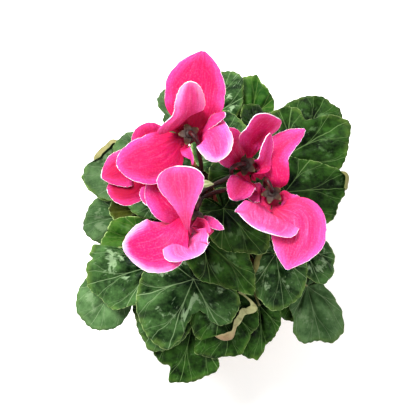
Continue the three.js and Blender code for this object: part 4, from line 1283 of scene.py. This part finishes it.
def petal_finish(name, deepen):
    """Pink: hot in the middle, paler and bluer to the margin, maroon in the tube (partly painted shade), with
    a white rim (partly painted highlight).
    """
    petal = Finish(name, Specular_IOR_Level=0.14, Subsurface_Weight=0.3, Subsurface_Scale=0.002)
    along, across, inset = petal.mark("along"), petal.mark("across"), petal.mark("inset")
    seed, rim, crimson = petal.mark("seed"), petal.mark("rim"), petal.mark("crimson") + deepen
    streaks = petal.drawn(across * 0.8, along * 3, seed * 5, 4, 0.7)
    fine = petal.drawn(across * 2.2, along * 6, seed * 3, 3)
    blotch = petal.drawn(across * 0.1, along * 3, seed * 7, 3)
    folds = petal.drawn(across * 0.16, along * 1.4, seed * 9, 2, 0.5)
    place = petal.position()
    soft = petal.noise(place, 40, 3)
    grain = petal.noise(place, 750, 3, 0.6)
    uneven = streaks - 0.5
    # the ground: paler towards the margin, streaked, blotched and finely grained
    pale = (inset + uneven * 14).fall(0.0, 11.0) * 0.6 + (soft - 0.5) * 0.4
    body = petal.mix(HOT_PINK, COOL_PINK, pale)
    body = petal.mix(body, PALE_STREAK, streaks.rise(0.5, 0.75) * 0.3)
    body = petal.mix(body, DARK_STREAK, fine.rise(0.46, 0.68) * 0.45)
    body = petal.mix(body, DARK_BLOTCH, (blotch + pale * -0.15).rise(0.42, 0.66) * 0.5)
    body = petal.mix(body, DARK_GRAIN, grain.rise(0.46, 0.74) * 0.28)
    body = petal.mix(body, PALE_GRAIN, grain.fall(0.2, 0.54) * 0.14)
    # each petal's lean to crimson, partly its own colour and partly painted shade where it lies in shadow, or,
    # below 0, to lilac
    inner = (inset + uneven * 10).rise(0.0, 9.0) * 0.5 + 0.5
    body = petal.mix(body, CRIMSON_AND_PAINTED_SHADE, crimson.at_least(0.0) * inner)
    body = petal.mix(body, LILAC, (crimson * -2.2).at_least(0.0) * streaks.rise(0.1, 0.9))
    # the throat: darker towards the tube, partly the flower's own dark eye and partly painted shade in the
    # funnel
    depth = along + uneven * 0.14
    body = petal.mix(body, THROAT_RED, depth.fall(0.14, 0.36) * 0.7)
    body = petal.mix(body, MAROON, depth.fall(0.03, 0.15) * 0.9)
    # a frosted margin, and the white line at its edge, partly the petal's pale edge and partly painted
    # highlight
    frost = (inset + uneven * 9 + (soft - 0.5) * 8).fall(0.0, 6.5) * rim.rise(0.95, 1.4)
    body = petal.mix(body, FROST_PINK, frost * along.rise(0.4, 0.85) * 0.55)
    line = (inset + (grain - 0.5) * 0.9).fall(0.0, rim * 0.4)
    body = petal.mix(body, WHITE_RIM_AND_HIGHLIGHT, line * rim.rise(0.1, 0.5) * 0.9)
    relief = streaks * 0.6 + fine * 0.4 + grain * 0.3 + folds * 4
    return petal.paint(body, 0.48 + 0.15 * soft, relief, 0.0004)


# %% Stalk, sepals and bud
STEM_MAROON = colour(40, 10, 15)
STEM_RED = colour(80, 30, 30)
SEPAL_DARK = colour(24, 9, 9)
SEPAL_BROWN = colour(60, 36, 22)
SEPAL_TIP = colour(146, 134, 84)
SEPAL_MOTTLE = colour(46, 24, 18)
BUD_GREEN = colour(150, 168, 104)
BUD_PALE = colour(206, 214, 158)
BUD_PINK = colour(214, 120, 150)


def flower_stalk_finish():
    """Dark maroon, with a dull shine and a fine down."""
    stalk = Finish("flower_stalk", Specular_IOR_Level=0.25)
    place = stalk.position()
    body = stalk.mix(STEM_MAROON, STEM_RED, stalk.noise(place, 320, 4).rise(0.4, 0.75))
    return stalk.paint(body, 0.45, stalk.noise(place, 1400, 2), 0.0002)


def sepal_finish():
    """Nearly black at the base, brown further out and olive at the tips, and mottled; the dark is partly
    painted shade.
    """
    sepal = Finish("sepal", Specular_IOR_Level=0.3)
    place, out = sepal.position(), sepal.mark("rise")
    body = sepal.mix(SEPAL_DARK, SEPAL_BROWN, out.rise(0.1, 0.6))
    body = sepal.mix(body, SEPAL_TIP, out.rise(0.72, 1.0) * 0.6)
    body = sepal.mix(body, SEPAL_MOTTLE, sepal.noise(place, 500, 4) * 0.6)
    return sepal.paint(body, 0.6, sepal.noise(place, 900, 3), 0.0003)


def bud_finish():
    """A young bud: pale green, with the twisted edges of its petals showing."""
    bud = Finish("bud", Specular_IOR_Level=0.35)
    twist = bud.maths("SINE", bud.mark("turn") * 5 + bud.mark("rise") * 6)
    body = bud.mix(BUD_GREEN, BUD_PALE, twist.rise(-0.4, 0.8))
    body = bud.mix(body, BUD_PINK, bud.noise(bud.position(), 220, 3).rise(0.55, 0.75) * 0.25)
    return bud.paint(body, 0.45, twist * 0.5 + 0.5, 0.0003)


# The inner face is painted a little more crimson than the outer one: painted shade.
PETAL_INNER = petal_finish("petal_inner", 0.08)
PETAL_OUTER = petal_finish("petal_outer", 0.0)
FLOWER_STALK = flower_stalk_finish()
SEPAL = sepal_finish()
BUD_SKIN = bud_finish()
flower_finishes = [PETAL_INNER, PETAL_OUTER, FLOWER_STALK, SEPAL, BUD_SKIN]
print("flower finishes:", ", ".join(finish.name for finish in flower_finishes))


# %% Petals and their tube
TUBE_PROFILE = [(2.4, -1.6), (3.7, -7), (6.5, -9.4), (5.2, -6.5), (3.6, -1.6), (2.4, -1.6)]
TUBE_SIDES = 48
TUBE_MARKS = {"along": 0.04, "inset": 9.0, "rim": 0.5, "crimson": 0.3, "seed": 0.0, "across": 0.0}


def hung(flower):
    """Takes points made round an upright axis to where a flower hangs."""
    return lambda points: points @ nodding(flower) + flower.middle


def corolla(bloom, number):
    """The petals and the short tube that they grow from."""
    skin = Skins()
    faces, rim = grid_faces(PETAL_ROWS, PETAL_COLUMNS), grid_edge(PETAL_ROWS, PETAL_COLUMNS)
    for k, petal in enumerate(bloom.petals):
        points, marks = petal_surface(bloom, petal, 1.7 * number + 2.9 * k)
        skin.add_sheet(points, [faces], rim, PETAL_THICKNESS, (0, 1), marks)
    skin.add_turned(rounded(TUBE_PROFILE, 0.25), TUBE_SIDES, 1, hung(bloom), TUBE_MARKS)
    return skin.piece(f"{bloom.name}_corolla", [PETAL_INNER, PETAL_OUTER], "petal", f"{bloom.name}_petals")


# %% [markdown]
# ### The calyx
#
# Behind the petals sits a small cup with five pointed sepals. A sepal is a sheet on a grid like a petal,
# but a simpler formula does for it: its width is part of a sine wave, and it falls with the square of the
# way out. One sheet is turned about the cup's axis five times.

# %% Calyx
SEPALS = 5
SEPAL_ROWS = 12
SEPAL_COLUMNS = 9
SEPAL_THICKNESS = 0.6
SEPAL_HALF_WIDTH = 2.9
CORE_SIDES = 32


def sepal_sheet(turn):
    """A pointed sepal: it leaves the cup level and bends down over the tube, its edges a little up."""
    t = np.linspace(0, 1, SEPAL_ROWS)[:, None]
    s = np.linspace(-1, 1, SEPAL_COLUMNS)
    wide = SEPAL_HALF_WIDTH * np.sin(np.pi * (0.22 + 0.78 * t)) ** 0.8 + 0.05
    x = 1.8 + 6.4 * t + 0 * s
    y = s * wide
    z = -0.3 - 2.2 * t**2 + 0.25 * s**2 * np.sin(np.pi * t)
    points = np.stack([x, y, z], axis=2).reshape(-1, 3) @ turning(np.array([0, 0, 1.0]), turn)
    return points, {"rise": np.repeat(t, SEPAL_COLUMNS)}


def calyx(flower, core):
    """A small cup with five sepals round it. The ovary and its style hang from it into the tube."""
    skin = Skins()
    faces, rim = grid_faces(SEPAL_ROWS, SEPAL_COLUMNS), grid_edge(SEPAL_ROWS, SEPAL_COLUMNS)
    for k in range(SEPALS):
        points, marks = sepal_sheet(360 / SEPALS * (k + 0.5))
        skin.add_sheet(hung(flower)(points), [faces], rim, SEPAL_THICKNESS, (0, 0), marks)
    skin.add_turned(rounded(core, 0.2), CORE_SIDES, 0, hung(flower), {"rise": 0.2})
    return skin.piece(f"{flower.name}_sepals", [SEPAL], "sepal", f"{flower.name}_calyx")


# %% [markdown]
# ### The flower's stalk
#
# The flower hangs, so its stalk comes over in a hook. It could be a curve object with a round bevel, but a
# ring carried along the path is a closed mesh at once. The hook is an arc round a centre beside the calyx,
# and below it the stalk goes through a few points between the leaves.

# %% Flower stalk
HOOK_RADIUS = 5
HOOK_START = 4.5
SEAT_HEIGHT = 2.4
STEM_FOOT_RADIUS = 2.0
STEM_TOP_RADIUS = 1.6
STEM_FEET_RING = 6.0
STEM_SEAT_RADIUS = 1.8
STEM_STEPS = 80
STEM_SIDES = 14


def flower_stalk(flower):
    """Up from the tuber through the leaves, past the tube, and over in a round hook to the calyx."""
    lean = np.radians(flower.nod)
    hook_out = HOOK_START * np.sin(lean) + HOOK_RADIUS * np.cos(lean)
    hook_up = HOOK_START * np.cos(lean) - HOOK_RADIUS * np.sin(lean)

    def beside(out, height):
        return polar(out, flower.side, height) + flower.middle

    def on_hook(angle):
        return beside(hook_out - HOOK_RADIUS * np.cos(angle), hook_up + HOOK_RADIUS * np.sin(angle))

    foot = foot_on_tuber(STEM_FEET_RING, flower.foot, STEM_SEAT_RADIUS)
    rising = [beside(hook_out + HOOK_RADIUS, -16), beside(hook_out + HOOK_RADIUS, -6)]
    arc = [on_hook(lean + (np.pi - lean) * share) for share in (1, 0.66, 0.33, 0)]
    end = beside(SEAT_HEIGHT * np.sin(lean), SEAT_HEIGHT * np.cos(lean))
    path = path_through([foot, *flower.through, *rising, *arc, end], STEM_STEPS, 0.5)
    rise = np.linspace(0, 1, len(path))
    radii = STEM_FOOT_RADIUS + (STEM_TOP_RADIUS - STEM_FOOT_RADIUS) * rise
    skin = Skins()
    skin.add_stalk(path, radii, polar(1, flower.side + 90), STEM_SIDES, 0)
    return skin.piece(f"{flower.name}_stem", [FLOWER_STALK], "stalk", f"{flower.name}_stalk")


# %% Make the flowers
FLOWER_CORE = [(0, -11), (0.7, -10.5), (1.8, -5.5), (2, -1.3), (3.6, -1.3), (3, 1), (0, 2)]

for number, bloom in enumerate(BLOOMS):
    made = corolla(bloom, number)
    calyx(bloom, FLOWER_CORE)
    flower_stalk(bloom)
    print(bloom.name, "petals:", len(made.data.polygons), "faces")

# %% [markdown]
# ### The bud
#
# A young bud hangs closed, its petals wound round one another. It is small, so a turned form is enough,
# and the winding is left to its finish: a sine wave that runs round the bud and along it.

# %% Make the bud
BUD_CORE = [(0, -1.3), (3, -1.3), (2.8, 1), (0, 2)]
BUD_PROFILE = [(0, -13.5), (0.8, -12.5), (2.2, -9.5), (3, -6.5), (2.8, -3.5), (2, -1.6), (0, -1.6)]
BUD_SIDES = 40

bud_form = rounded(BUD_PROFILE, 0.2)
bud_marks = {
    "turn": np.tile(np.arange(BUD_SIDES) * 2 * np.pi / BUD_SIDES, len(bud_form)),
    "rise": np.repeat((bud_form[:, 1] + 13.5) / 12, BUD_SIDES),
}
bud_skin = Skins()
bud_skin.add_turned(bud_form, BUD_SIDES, 0, hung(BUD), bud_marks)
made = bud_skin.piece("bud_tip", [BUD_SKIN], "bud", "bud")
calyx(BUD, BUD_CORE)
flower_stalk(BUD)
print("bud:", len(made.data.polygons), "faces")
